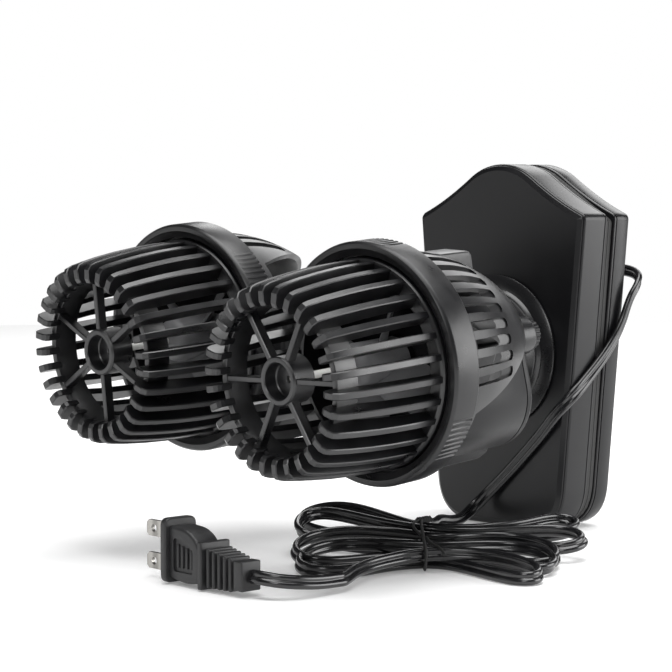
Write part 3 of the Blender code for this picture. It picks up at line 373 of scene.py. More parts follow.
def crease(mesh, degrees):
    """Smooth faces, with a hard line only at edges sharper than this."""
    bm = bmesh.new()
    bm.from_mesh(mesh)
    limit = math.radians(degrees)
    for face in bm.faces:
        face.smooth = True
    for edge in bm.edges:
        edge.smooth = len(edge.link_faces) == 2 and edge.calc_face_angle(0.0) < limit
    bm.to_mesh(mesh)
    bm.free()


def carved(solid, cutters):
    """The solid with the cutters taken away."""
    holders = []
    for source in (solid, cutters):
        bmesh.ops.recalc_face_normals(source, faces=source.faces)
        mesh = bpy.data.meshes.new("carve")
        source.to_mesh(mesh)
        source.free()
        holder = bpy.data.objects.new("carve", mesh)
        bpy.context.scene.collection.objects.link(holder)
        holders.append(holder)
    cut = holders[0].modifiers.new("cut", "BOOLEAN")
    cut.object = holders[1]
    cut.solver = "EXACT"
    bpy.context.view_layer.update()
    graph = bpy.context.evaluated_depsgraph_get()
    mesh = bpy.data.meshes.new_from_object(holders[0].evaluated_get(graph))
    found = bmesh.new()
    found.from_mesh(mesh)
    for holder in holders:
        bpy.data.objects.remove(holder, do_unlink=True)
    return found


# ---------------------------------------------------------------- materials

def surface(name, slot, colour, roughness, metallic=0.0, spec=0.5):
    """A Principled material. Its colour and roughness are kept aside for grained or striped to use."""
    made = bpy.data.materials.new(name)
    made.use_nodes = True
    made["slot"] = slot
    nodes = made.node_tree.nodes
    shader = nodes["Principled BSDF"]
    shader.inputs["Metallic"].default_value = metallic
    shader.inputs["Specular IOR Level"].default_value = spec
    made.diffuse_color = (*colour, 1.0)
    made["tone"] = [*colour]
    made["gloss"] = roughness
    return made


def node(look, kind, **sockets):
    """A new shader node, its sockets set by name with _ for each space."""
    made = look.node_tree.nodes.new(kind)
    for name, value in sockets.items():
        made.inputs[name.replace("_", " ")].default_value = value
    return made


def joined(look, a, out, b, into):
    look.node_tree.links.new(a.outputs[out], b.inputs[into])


def ramp(look, low, high, from_low=0.35, from_high=0.65):
    """From one colour to another, between these two values."""
    made = look.node_tree.nodes.new("ShaderNodeValToRGB")
    made.color_ramp.elements[0].position = from_low
    made.color_ramp.elements[1].position = from_high
    made.color_ramp.elements[0].color = (*low, 1.0)
    made.color_ramp.elements[1].color = (*high, 1.0)
    return made


def roughened(look, texture, depth):
    """Raises the surface by up to depth where the texture is bright."""
    bump = node(look, "ShaderNodeBump", Strength=1.0, Distance=depth * MM)
    joined(look, texture, "Fac", bump, "Height")
    joined(look, bump, "Normal", look.node_tree.nodes["Principled BSDF"], "Normal")


def grained(look, grain=2600.0, depth=0.02, cloud=60.0, vary=0.25, gloss_swing=0.08):
    """Spark-eroded mould grain, with slow cloudy changes of tone and gloss."""
    shader = look.node_tree.nodes["Principled BSDF"]
    where = node(look, "ShaderNodeTexCoord")
    slow = node(look, "ShaderNodeTexNoise", Scale=cloud, Detail=4.0, Roughness=0.55)
    fine = node(look, "ShaderNodeTexNoise", Scale=grain, Detail=2.0, Roughness=0.5)
    joined(look, where, "Object", slow, "Vector")
    joined(look, where, "Object", fine, "Vector")
    tone = look["tone"]
    colours = ramp(look, [c * (1 - vary) for c in tone], [c * (1 + vary) for c in tone])
    joined(look, slow, "Fac", colours, "Fac")
    joined(look, colours, "Color", shader, "Base Color")
    swing = node(look, "ShaderNodeMapRange")
    swing.inputs["From Min"].default_value = 0.3
    swing.inputs["From Max"].default_value = 0.7
    swing.inputs["To Min"].default_value = look["gloss"] - gloss_swing
    swing.inputs["To Max"].default_value = look["gloss"] + gloss_swing
    joined(look, slow, "Fac", swing, "Value")
    joined(look, swing, "Result", shader, "Roughness")
    roughened(look, fine, depth)
    return look


def striped(look, closeness, depth, spread=0.5):
    """Fine lines across the Y axis, such as brushing, lamination or winding."""
    shader = look.node_tree.nodes["Principled BSDF"]
    where = node(look, "ShaderNodeTexCoord")
    wave = node(look, "ShaderNodeTexWave", Scale=closeness, Distortion=spread, Detail=2.0)
    wave.bands_direction = "Y"
    joined(look, where, "Object", wave, "Vector")
    tone = look["tone"]
    colours = ramp(look, [c * 0.72 for c in tone], [min(1.0, c * 1.15) for c in tone], 0.2, 0.8)
    joined(look, wave, "Fac", colours, "Fac")
    joined(look, colours, "Color", shader, "Base Color")
    roughened(look, wave, depth)
    shader.inputs["Roughness"].default_value = look["gloss"]
    return look


SATIN = grained(surface("satin_black_abs", "satin_black_plastic", (0.011, 0.011, 0.012), 0.34))
GLOSS = grained(
    surface("gloss_black_abs", "satin_black_plastic", (0.007, 0.007, 0.008), 0.3, spec=0.35),
    grain=1900.0, depth=0.004, vary=0.12, gloss_swing=0.02,
)
NECK = grained(
    surface("neck_black_abs", "satin_black_plastic", (0.009, 0.009, 0.010), 0.27, spec=0.6),
    grain=1900.0, depth=0.004, vary=0.12, gloss_swing=0.03,
)
SOFT = grained(
    surface("soft_black_abs", "soft_black_plastic", (0.008, 0.008, 0.009), 0.42, spec=0.24),
    depth=0.03,
)
CAGE = grained(
    surface("cage_black_abs", "satin_black_plastic", (0.008, 0.008, 0.009), 0.34, spec=0.75),
    depth=0.012,
)
RUBBER = grained(surface("matte_rubber", "black_rubber", (0.02, 0.02, 0.02), 0.72), grain=1500.0, depth=0.05)
VINYL = grained(
    surface("cord_vinyl", "black_rubber", (0.009, 0.009, 0.01), 0.22, spec=0.7),
    cloud=140.0, depth=0.004, gloss_swing=0.04,
)
MOULDED = grained(surface("plug_vinyl", "black_rubber", (0.02, 0.02, 0.021), 0.44), cloud=120.0, depth=0.03)
BLADE = striped(surface("nickel_plate", "stainless_steel", (0.36, 0.35, 0.33), 0.34, 1.0), 900.0, 0.004)
STEEL = striped(surface("brushed_steel", "stainless_steel", (0.58, 0.58, 0.6), 0.3, 1.0), 700.0, 0.006)
MAGNET = grained(surface("coated_magnet", "magnet", (0.08, 0.08, 0.085), 0.42, 0.6), grain=900.0, depth=0.05)
CERAMIC = grained(surface("ground_ceramic", "white_ceramic", (0.83, 0.83, 0.8), 0.2), vary=0.04, depth=0.004)
CORE = striped(surface("laminated_core", "silicon_steel", (0.32, 0.33, 0.35), 0.45, 0.9), 320.0, 0.08, 0.1)
COPPER = striped(surface("copper_winding", "copper_wire", (0.55, 0.22, 0.08), 0.35, 0.9), 420.0, 0.15, 0.2)
GREY = grained(surface("grey_impeller", "grey_plastic", (0.17, 0.17, 0.175), 0.4), vary=0.1)
NYLON = grained(surface("white_nylon", "white_nylon", (0.75, 0.75, 0.72), 0.42), vary=0.06)


# ---------------------------------------------------------------- camera and light

def camera():
    """A long lens from the right and a little above, level with the mount."""
    turn = math.radians(CAMERA_AZIMUTH)
    pitch = math.radians(CAMERA_PITCH)
    right = Vector((math.cos(turn), math.sin(turn), 0.0))
    back = Vector((math.sin(turn) * math.cos(pitch), -math.cos(turn) * math.cos(pitch), math.sin(pitch)))
    up = back.cross(right)
    data = bpy.data.cameras.new("camera")
    data.sensor_width = SENSOR_MM
    data.lens = LENS_MM
    made = bpy.data.objects.new("camera", data)
    axes = Matrix((right, up, back)).transposed().to_4x4()
    axes.translation = CAMERA_PLACE
    made.matrix_world = axes
    bpy.context.scene.collection.objects.link(made)
    bpy.context.scene.camera = made


def softbox(name, place, target, size, power):
    """A soft light panel at place, in metres and watts, turned to face target."""
    data = bpy.data.lights.new(name, "AREA")
    data.shape = "RECTANGLE"
    data.size, data.size_y = size
    data.energy = power
    made = bpy.data.objects.new(name, data)
    made.location = place
    aim = Vector(target) - Vector(place)
    made.rotation_euler = aim.to_track_quat("-Z", "Y").to_euler()
    bpy.context.scene.collection.objects.link(made)


def backdrop():
    """White all round to the eye, with little of it left for the gloss of black plastic to catch."""
    world = bpy.data.worlds.new("studio")
    bpy.context.scene.world = world
    world.use_nodes = True
    nodes = world.node_tree.nodes
    links = world.node_tree.links
    seen = nodes["Background"]
    seen.inputs["Color"].default_value = (1.0, 1.0, 1.0, 1.0)
    caught = nodes.new("ShaderNodeBackground")
    caught.inputs["Color"].default_value = (1.0, 1.0, 1.0, 1.0)
    caught.inputs["Strength"].default_value = 0.06
    path = nodes.new("ShaderNodeLightPath")
    mix = nodes.new("ShaderNodeMixShader")
    links.new(path.outputs["Is Camera Ray"], mix.inputs["Fac"])
    links.new(caught.outputs["Background"], mix.inputs[1])
    links.new(seen.outputs["Background"], mix.inputs[2])
    links.new(mix.outputs["Shader"], nodes["World Output"].inputs["Surface"])


def floor():
    """A round white table, wide enough for every view."""
    bm = bmesh.new()
    bmesh.ops.create_circle(bm, cap_ends=True, segments=96, radius=TABLE_RADIUS)
    mesh = bpy.data.meshes.new("floor")
    bm.to_mesh(mesh)
    bm.free()
    table = bpy.data.objects.new("floor", mesh)
    table.location.z = FLOOR_Z * MM
    bpy.context.scene.collection.objects.link(table)
    paper = bpy.data.materials.new("white_paper")
    paper.use_nodes = True
    shader = paper.node_tree.nodes["Principled BSDF"]
    shader.inputs["Base Color"].default_value = (0.92, 0.92, 0.92, 1.0)
    shader.inputs["Roughness"].default_value = 0.7
    shader.inputs["Specular IOR Level"].default_value = 0.1
    shader.inputs["Emission Color"].default_value = (1.0, 1.0, 1.0, 1.0)
    shader.inputs["Emission Strength"].default_value = 0.17
    mesh.materials.append(paper)


def studio():
    """White surroundings, with soft boxes to the right, behind and above, and weak ones in front."""
    bpy.context.scene.view_settings.view_transform = "Standard"
    backdrop()
    floor()
    softbox("box_right", (1.15, 0.85, 0.25), (0.0, -0.05, 0.0), (1.2, 1.0), 21.0)
    softbox("box_back", (-0.8, 1.5, 1.15), (0.0, 0.0, 0.0), (1.8, 1.0), 17.0)
    softbox("box_top", (0.15, -0.1, 1.6), (0.0, -0.05, 0.0), (1.5, 1.5), 36.0)
    softbox("box_front", (0.9, -1.5, 0.9), (0.0, -0.1, 0.0), (0.7, 0.7), 8.0)
    softbox("box_left", (-1.1, -1.2, 0.15), (0.0, -0.1, 0.0), (1.0, 0.9), 2.6)


# ---------------------------------------------------------------- cord and plug

def twin_section():
    """Two round cores side by side with a groove between them."""
    right = arc((CORE_OFFSET, 0.0), CORE_RADIUS, -math.radians(142), math.radians(142), 14)
    return right + [(-x, -y) for x, y in right]


def hank_point(along, across, height):
    """A point of the hank, from its own directions to the model's."""
    turned = Matrix.Rotation(HANK_TURN, 3, "Z") @ Vector((along, across, 0.0))
    return HANK_CENTRE + turned + Vector((0.0, 0.0, FLOOR_CLEAR + (height - FLOOR_CLEAR) * HANK_PRESS))


def cord_line():
    """The cord's centreline from the gland to the plug, its strands in the hank drawn smooth."""
    lead = [Vector(p) for p in LEAD_ROUTE]
    hank = [hank_point(*p) for p in HANK_ROUTE]
    tail = [Vector(p) for p in PLUG_ROUTE[1:]]
    line = curve_through([tuple(p - GRIP) for p in lead + hank + tail], CORD_STEP)
    hank_edge, tail_length = -75.0, 40.0
    first = int(np.argmax(line[:, 1] < hank_edge))
    last = int(len(line) - tail_length / CORD_STEP)
    smoothed(line[first:last], 22)
    return line


def cord_normals(line):
    """The thin direction: flat on the mount's back, side and face, then on edge through the hank."""
    tangent = unit(np.gradient(line, axis=0))
    found = np.cross(tangent, [0.0, 0.0, 1.0])
    model = line + np.array(GRIP)
    behind = (model[:, 1] > 34.0) & (model[:, 2] > 80.0)
    beside = (model[:, 0] > 36.0) & (model[:, 1] < 36.5) & (model[:, 1] > -7.0) & (model[:, 2] > 50.0)
    before = (model[:, 1] > -16.0) & (model[:, 1] < -7.0) & (model[:, 2] > 8.0)
    found[behind] = (0.0, 1.0, 0.0)
    found[beside] = (model - np.array((20.0, 10.0, 0.0)))[beside] * (1.0, 1.0, 0.0)
    found[before] = (0.2, -1.0, 0.0)
    hank_edge, most_lean, sway = -70.0, 0.45, 61.0  # the strands of the hank lean one way and the other
    run = np.arange(len(line)) - int(np.argmax(model[:, 1] < hank_edge))
    lean = np.where(run > 0, most_lean * np.sin(run * CORD_STEP / sway), 0.0)
    found = unit(found)
    up = np.array([0.0, 0.0, 1.0])
    found = found * np.cos(lean)[:, None] + up * np.sin(lean)[:, None]
    for i in range(1, len(found)):
        if found[i] @ found[i - 1] < 0:
            found[i] = -found[i]
    for _ in range(40):
        found[1:-1] = unit(0.25 * found[:-2] + 0.5 * found[1:-1] + 0.25 * found[2:])
        found = unit(found - tangent * np.sum(found * tangent, axis=1)[:, None])
    return found


def cord():
    """The whole mains cord, and its centreline."""
    line = cord_line()
    bm = bmesh.new()
    sweep(bm, line, twin_section(), cord_normals(line))
    nodes = ("cord_lead", "cord_hank", "cord_to_plug")
    made = piece("mains_cord", bm, VINYL, "wet_half", stands_for=nodes, sharp=70.0)
    return made, line


def gland():
    """Strain relief at the mount's left side: collar and ribbed, slotted boot."""
    bm = bmesh.new()
    profile = [(0.0, 38.6), (4.0, 38.6), (4.0, 43.4), (6.6, 43.4), (6.6, 45.4), (5.4, 45.8)]
    for i in range(5):
        radius = 5.2 - 0.22 * i
        start = 46.2 + 1.9 * i
        profile += [(radius, start), (radius, start + 1.1)]
        profile += [(radius - 0.7, start + 1.25), (radius - 0.8, start + 1.75)]
    profile += [(3.9, 56.0), (0.0, 56.0)]
    turned = Matrix.Rotation(-math.pi / 2, 4, "Z")
    place = Matrix.Translation(Vector((0.0, 0.0, GLAND_HEIGHT)) - GRIP) @ turned
    revolve(bm, profile, 48, place)
    return piece("cord_boot", bm, RUBBER, "wet_half", stands_for=("cord_gland",))


def plug_place():
    return Matrix.Translation((PLUG_END - GRIP) * MM) @ Matrix.Rotation(PLUG_TURN, 4, "Z")


def plug():
    """Front flange, and waisted grip with a sunk, ribbed panel each side."""
    bm = bmesh.new()
    flange = bmesh.new()
    outline = [(-7.6, 0.6), (7.6, 0.6), (7.6, 25.4), (-7.6, 25.4)]
    prism(flange, softened(outline, 3.2, 6), -46.0, -42.6, along_x)
    merged(bm, rounded(flange, 0.7, 40.0, 3))
    grip = bmesh.new()
    outline = [(-43.2, 2.6), (-33.0, 1.2), (-24.2, 2.4), (-24.2, 15.6)]
    outline += [(-28.0, 19.8), (-33.0, 22.0), (-43.2, 22.8)]
    prism(grip, softened(outline, 2.5, 5), -5.6, 5.6, along_y)
    rounded(grip, 1.3, 40.0, 3)
    recess = bmesh.new()
    panel = softened([(-40.2, 5.4), (-28.4, 5.4), (-28.4, 14.6), (-32.0, 17.6), (-40.2, 18.2)], 1.4, 4)
    for side in (-1, 1):
        near, far = sorted((side * 4.7, side * 9.0))
        prism(recess, panel, near, far, along_y)
    merged(bm, carved(grip, recess))
    for side in (-1, 1):
        rib = bmesh.new()
        for i in range(4):
            x = -38.4 + 2.7 * i
            near, far = sorted((side * 4.5, side * 5.5))
            box(rib, (x, near, 7.0), (x + 1.2, far, 16.0 - 0.5 * i))
        merged(bm, rounded(rib, 0.3, 40.0, 2))
    return piece("plug_grip", bm, MOULDED, "wet_half", plug_place(), ("plug_body",), 50.0)


def plug_boot():
    """Second flange, five tapering ribs and the end block that the cord leaves."""
    bm = bmesh.new()
    blocks = [((-23.9, -7.0, 0.6), (-21.4, 7.0, 18.6)), ((-23.7, -3.4, 3.8), (-1.0, 3.4, 12.6))]
    for i in range(5):
        rear = -19.8 + 2.9 * i
        half = 6.0 - 0.3 * i
        blocks.append(((rear, -half, 1.6), (rear + 1.5, half, 16.4 - 0.5 * i)))
    blocks.append(((-5.4, -4.6, 2.4), (-0.3, 4.6, 13.6)))
    for low, high in blocks:
        block = bmesh.new()
        box(block, low, high)
        merged(bm, rounded(block, 0.55, 40.0, 3))
    return piece("plug_boot", bm, MOULDED, "wet_half", plug_place(), ("plug_strain_relief",), 50.0)


def wire_tie():
    """Plastic-coated wire round the waist of the hank, twisted together on top, its ends left long."""
    loop = [
        (-4.6, -24.5, 6.0), (-4.8, -23.0, 10.6), (-5.2, -15.0, 13.4), (-5.4, -4.0, 16.2), (-5.6, 8.0, 17.6),
        (-5.0, 16.0, 17.6), (-4.4, 21.5, 14.0), (-4.4, 23.0, 8.0), (-4.6, 21.0, 1.6), (-4.8, 8.0, 0.8),
        (-5.0, -8.0, 0.8), (-5.0, -21.0, 0.9), (-5.0, -25.4, 2.6), (-4.6, -25.2, 6.4), (-4.6, -23.4, 10.8),
    ]
    strands = [loop]
    twist_radius, points_a_turn = 1.1, 9.0
    for start in (0.0, math.pi):
        twist = []
        for i in range(28):
            a = start + TURN * i / points_a_turn
            aside, rise = twist_radius * math.cos(a), twist_radius * math.sin(a)
            twist.append((-7.0 + 0.2 * i + aside, 13.0 + 0.22 * i, 18.0 + rise))
        strands.append(twist)
    strands.append([
        (-4.2, -12.0, 14.6), (-2.6, -16.0, 12.6), (0.4, -20.6, 11.4), (2.2, -23.6, 9.6), (2.8, -24.8, 8.4),
    ])
    strands.append([
        (-6.5, 12.0, 18.2), (-8.2, 9.0, 17.8), (-8.8, 4.0, 16.8), (-7.6, -3.0, 15.8), (-6.0, -9.0, 15.0),
    ])
    bm = bmesh.new()
    for points in strands:
        wire(bm, [tuple(hank_point(*p) - GRIP) for p in points], TIE_RADIUS)
    return piece("wire_tie", bm, RUBBER, "wet_half", stands_for=("twist_tie",), sharp=60.0)


def cords():
    """The cord with everything on it."""
    made, line = cord()
    pieces = [gland(), plug(), plug_boot(), wire_tie()]
    pieces += [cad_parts["plug_blade_upper"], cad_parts["plug_blade_lower"]]


# ---------------------------------------------------------------- mount

def shield_outline():
    """House-shaped outline with a round apex, tight shoulders and a round foot, anticlockwise."""
    side_lean = math.atan2(SHOULDER_HALF - HIP_HALF, SHOULDER_Z - HIP_Z)
    apex = arc((0.0, APEX_Z - APEX_RADIUS), APEX_RADIUS, math.pi / 2, math.pi / 2 - ROOF_ANGLE, 14)
    centre = (SHOULDER_HALF - SHOULDER_RADIUS, SHOULDER_Z - SHOULDER_RADIUS)
    shoulder = arc(centre, SHOULDER_RADIUS, math.pi / 2 - ROOF_END, -side_lean, 10)
    start, end = Vector(apex[-1]), Vector(shoulder[0])
    down, along = math.tan(ROOF_ANGLE), math.tan(ROOF_END)
    bend_x = (start.y - end.y + down * start.x - along * end.x) / (down - along)
    bend = Vector((bend_x, start.y - down * (bend_x - start.x)))
    roof = []
    for i in range(1, 12):
        t = i / 12
        roof.append(tuple(start * (1 - t) ** 2 + bend * 2 * t * (1 - t) + end * t * t))
    hip = []
    for i in range(1, 16):
        t = i / 16
        out = 4 * HIP_BOW * t * (1 - t) * math.sin(math.pi / 4)
        hip.append((HIP_HALF + (FOOT_HALF - HIP_HALF) * t + out, HIP_Z * (1 - t) - out))
    right = apex + roof + shoulder + [(HIP_HALF, HIP_Z)] + hip + [(FOOT_HALF, 0.0)]
    left = [(-x, z) for x, z in right[1:]]
    return left + right[::-1]


def inset(outline, distance):
    """The outline moved inwards by the same distance all round."""
    found = []
    count = len(outline)
    for i in range(count):
        before = Vector(outline[i - 1])
        here = Vector(outline[i])
        after = Vector(outline[(i + 1) % count])
        first = (here - before).normalized()
        second = (after - here).normalized()
        inward = Vector((-first.y - second.y, first.x + second.x)).normalized()
        lean = inward.dot(Vector((-first.y, first.x)))
        found.append(here + inward * distance / lean)
    return found


def casing(name, profile, cap_at, body, node_name):
    """One half of the mount: its outline lofted through the profile, with its outer face closed."""
    outline = shield_outline()
    bm = bmesh.new()
    rings = []
    for distance, y in profile:
        ring = [bm.verts.new((p.x - GRIP.x, y - GRIP.y, p.y - GRIP.z)) for p in inset(outline, distance)]
        rings.append(ring)
    for first, second in zip(rings, rings[1:]):
        bridge(bm, first, second)
    bm.faces.new(rings[cap_at])
    return piece(name, bm, GLOSS, body, stands_for=(node_name,), sharp=28.0)


def socket():
    """Flange on the mount's face, and the round cup that holds the ball."""
    bm = bmesh.new()
    cup_edge, ring_edge = 3.0, 3.3
    opening = math.acos(cup_edge / SEAT_RADIUS)
    seat = [(abs(b), a) for a, b in arc((0.0, 0.0), SEAT_RADIUS, opening, math.pi, 16)]
    profile = [(0.0, -12.15), (33.2, -12.15), (34.0, -11.7), (34.0, -11.0), (33.5, -10.55), (29.0, -9.0)]
    profile += [(28.4, -8.9), (28.0, -8.3), (27.2, -7.4), (26.7, -7.1)]
    profile += [(CUP_RADIUS, -6.5), (CUP_RADIUS, 2.5), (CUP_RADIUS - 0.5, cup_edge)]
    revolve(bm, profile + seat, 128, Matrix.Translation(BALL))
    piece("ball_socket", bm, NECK, "wet_half", stands_for=("socket_base",), sharp=30.0)
    bm = bmesh.new()
    mouth = np.linspace(math.radians(60.0), math.acos(ring_edge / SEAT_RADIUS), 5)
    seat = [(SEAT_RADIUS * math.sin(a), SEAT_RADIUS * math.cos(a)) for a in mouth]
    profile = [(CUP_RADIUS - 0.5, ring_edge), (26.3, 3.7), (26.1, 4.6), (25.0, 6.2), (19.6, 10.2)]
    profile += [(18.4, 10.5), (14.4, 10.5), (13.6, 10.2)]
    revolve(bm, profile + seat, 128, Matrix.Translation(BALL))
    piece("clamp_ring", bm, SOFT, "wet_half", stands_for=("socket_ring",), sharp=30.0)


# ---------------------------------------------------------------- arm

def arm_place():
    turned = Matrix.Rotation(ARM_TILT, 4, "X") @ Matrix.Rotation(ARM_ROLL, 4, "Y")
    return Matrix.Translation(BALL * MM) @ turned


def crossbar():
    """Bar with a low middle for the stud, a raised panel behind, and a hub at each end."""
    bm = bmesh.new()
    top, bottom, span = HEAD_RISE + BAR_HALF_HEIGHT, HEAD_RISE - BAR_HALF_HEIGHT, HEAD_SPAN - HUB_RADIUS / 2
    right = [(4.0, -9.5), (12.0, -1.5), (16.0, bottom), (span, bottom), (span, top)]
    outline = softened(right + [(-x, z) for x, z in right[::-1]], 4.0, 6)
    bar = bmesh.new()
    prism(bar, outline, 33.0, 40.0, front_view)
    merged(bm, rounded(bar, 1.6, 40.0, 3))
    panel = bmesh.new()
    outline = [(-38.0, 13.4), (38.0, 13.4), (38.0, 20.4), (-38.0, 20.4)]
    prism(panel, softened(outline, 3.0, 5), 32.4, 34.0, front_view)
    merged(bm, rounded(panel, 0.5, 40.0, 2))
    for side in (-1, 1):
        hub = softened([(4.9, 32.0), (HUB_RADIUS, 32.0), (HUB_RADIUS, 41.0), (4.9, 41.0)], 0.9, 4)
        revolve(bm, hub, 64, Matrix.Translation((side * HEAD_SPAN, 0.0, HEAD_RISE)))
    piece("cross_arm", bm, SATIN, "arm", arm_place(), ("crossbar",), 40.0)


def ball_and_stud():
    """Ball, neck, collar and threaded end, turned in one piece."""
    bm = bmesh.new()
    start = math.asin(NECK_RADIUS / BALL_RADIUS)
    ball = [(abs(b), a) for a, b in arc((0.0, 0.0), BALL_RADIUS, math.pi, start, 28)]
    collar = [(NECK_RADIUS, 26.4), (5.0, 27.0), (8.6, 27.0), (9.0, 27.4), (9.0, 32.3), (8.6, 32.7)]
    revolve(bm, ball + collar + [(4.0, 32.7), (4.0, 45.6), (3.6, 46.0), (0.0, 46.0)], 64)
    place = Matrix.Translation(BALL * MM) @ Matrix.Rotation(ARM_TILT, 4, "X")
    piece("ball_and_stud", bm, STEEL, "ball", place, ("ball_stud",))


def stud_nut():
    """Hexagon nut in front of the crossbar."""
    bm = bmesh.new()
    prism(bm, circle(7.4, 6), 40.3, 45.0, front_view)
    rounded(bm, 0.6, 20.0, 3)
    piece("locking_nut", bm, STEEL, "arm", arm_place(), ("stud_nut",))


# ---------------------------------------------------------------- heads

def head_place(side):
    """Where a head sits at rest, with its clocking about its own axis."""
    offset = Matrix.Translation((SIDES[side] * HEAD_SPAN * MM, 0.0, HEAD_RISE * MM))
    return arm_place() @ offset @ around(SPINS[side])


def cage():
    """Thirty hooked fins on a rear flange, tied by a front band, six spokes and a hub."""
    bm = bmesh.new()
    outer = [(41.0, 124.8), (41.0, 128.0), (41.0, 135.0), (40.6, 145.0)]
    outer += [(39.8, 155.0), (38.6, 165.0), (37.3, 173.0)]
    tip = [(36.4, 175.6), (34.4, 177.1), (30.6, 177.1), (28.9, 176.2), (28.3, 174.8)]
    inner = [(28.4, 170.0), (30.4, 165.0), (33.0, 150.0), (34.5, 135.0), (35.0, 124.8)]
    fin = bmesh.new()
    prism(fin, outer + tip + inner, -FIN_THICK / 2, FIN_THICK / 2, side_view)
    rounded(fin, 0.35, 50.0, 1)
    for i in range(FINS):
        merged(bm, fin, around(TURN * i / FINS))
    flange = [(34.4, 116.6), (44.4, 116.6), (44.6, 116.9), (44.6, 120.3), (44.3, 120.6), (42.0, 120.7)]
    flange += [(41.6, 121.0), (41.5, 124.8), (41.0, 125.6), (40.2, 126.0), (35.4, 126.0), (34.4, 125.2)]
    revolve(bm, flange, 120)
    band = softened([(28.7, 160.4), (31.3, 160.4), (31.3, 171.4), (28.7, 171.4)], 0.5, 3)
    revolve(bm, band, 120)
    hub = [(3.4, 161.0), (9.0, 161.0), (9.4, 161.4), (9.4, 171.2), (8.9, 171.9), (8.4, 172.0), (7.4, 172.0)]
    hub += [(7.0, 171.6), (6.8, 166.4), (6.4, 166.0), (1.4, 166.0), (1.2, 165.8), (1.2, 164.7), (3.4, 164.7)]
    revolve(bm, hub, 64)
    for i in range(SPOKES):
        spoke = bmesh.new()
        outline = [(-1.1, 8.4), (1.1, 8.4), (1.1, 29.6), (-1.1, 29.6)]
        prism(spoke, outline, 166.8, 171.0, front_view)
        merged(bm, rounded(spoke, 0.3, 40.0, 1), around(SPOKE_PHASE + TURN * i / SPOKES))
    return bm


def notch_depth(angle):
    """How deep the lock ring is cut at this angle, in degrees."""
    slope = 0.35
    for group in range(NOTCH_GROUPS):
        for i in range(NOTCHES):
            at = NOTCH_PHASE + 360.0 / NOTCH_GROUPS * group + NOTCH_PITCH * (i - (NOTCHES - 1) / 2)
            off = abs((angle - at + 180.0) % 360.0 - 180.0)
            if off < NOTCH_HALF_WIDTH:
                return NOTCH_DEPTH * min(1.0, (NOTCH_HALF_WIDTH - off) / slope)
    return 0.0


def twist_ring():
    """Lock ring: rounded band with three groups of grip notches and an inner lip."""
    bm = bmesh.new()
    band = [(45.6, 112.3), (46.6, 112.3), (47.5, 112.6), (COLLAR_RADIUS, 113.3), (COLLAR_RADIUS, 124.2)]
    band += [(47.7, 125.1), (47.0, 125.8), (46.2, 125.9), (45.2, 125.8), (44.6, 125.2), (42.9, 124.7)]
    band += [(42.4, 124.2), (42.4, 121.5), (42.7, 121.2), (45.2, 121.2), (45.4, 121.0), (45.4, 112.6)]
    facets = 720

    def cut(radius, ahead, i):
        return notch_depth(360.0 * i / facets) if radius > 47.3 and ahead < 124.0 else 0.0

    revolve(bm, band, facets, cut=cut)
    return bm


def bell():
    """Slotted shroud: curved bell, sliced where the motor comes out, its slots ending in sloping scoops."""
    outer = [(43.4, 112.2), (43.0, 106.0), (42.0, 98.0), (40.3, 90.0), (37.8, 82.0)]
    outer += [(34.0, 73.0), (30.2, 66.0), (26.4, 60.5), (22.8, 56.6), (21.4, 55.4)]
    inner = [(19.8, 56.8), (21.2, 58.4), (24.8, 62.4), (28.4, 67.6), (32.0, 74.4), (35.6, 83.0), (38.0, 91.0)]
    inner += [(39.7, 99.0), (40.7, 107.0), (40.8, 116.3)]
    rim = [(44.8, 116.3), (45.1, 116.0), (45.1, 112.9), (44.8, 112.6)]
    profile = smooth_profile(outer) + smooth_profile(inner) + rim
    solid = bmesh.new()
    revolve(solid, profile, 128)
    solid = carved(solid, underside())
    for opening in (slot, scoop):
        openings = bmesh.new()
        for i in range(-SLOTS_EACH_SIDE, SLOTS_EACH_SIDE + 1):
            merged(openings, opening(), around(i * SLOT_PITCH))
        solid = carved(solid, openings)
    boss = bmesh.new()
    outline = [(31.0, 69.0), (38.2, 70.0), (39.6, 72.0), (39.8, 88.0), (36.0, 92.0), (31.0, 84.0)]
    prism(boss, softened(outline, 1.6, 4), -6.5, 6.5, side_view)
    merged(solid, rounded(boss, 1.3, 50.0, 3), around(-SPINS["right"]))
    return solid


def underside():
    """What is sliced off below the bell's slanting edge."""
    part = bmesh.new()
    top, low, reach = 105.5, 30.0, 70.0
    edge = [((CUT_AHEAD - ahead) * CUT_SLOPE, ahead) for ahead in (top, low)]
    prism(part, [(-reach, top), *edge, (-reach, low)], -reach, reach, side_view)
    return part


def slot():
    """One opening through the bell, round at its rear end."""
    part = bmesh.new()
    half, front = SLOT_HALF_WIDTH, 109.6
    outline = arc((0.0, 90.0), half, 0.0, -math.pi, 10) + [(-half, front), (half, front)]
    prism(part, outline, 26.0, 60.0, top_view)
    return part


def smooth_profile(points):
    """A curved profile through a few points."""
    line = curve_through([(r, s, 0.0) for r, s in points], 1.6)
    return [(float(p[0]), float(p[1])) for p in line]


def scoop():
    """The sloping floor at a slot's rear end, from flush with the bell down to its inside."""
    part = bmesh.new()
    half, front = SLOT_HALF_WIDTH + 0.15, 97.0
    outline = arc((0.0, SCOOP_START + half), half, 0.0, -math.pi, 10) + [(-half, front), (half, front)]
    bottom = [part.verts.new((a, -b, floor_height(b))) for a, b in outline]
    top = [part.verts.new((a, -b, 60.0)) for a, b in outline]
    part.faces.new(bottom)
    part.faces.new(top[::-1])
    bridge(part, bottom, top)
    return part


def floor_height(ahead):
    """Radius of the scoop's floor: just under the bell at its rear end, and a little higher ahead."""
    return SCOOP_RADIUS + (ahead - SCOOP_START) * 0.05


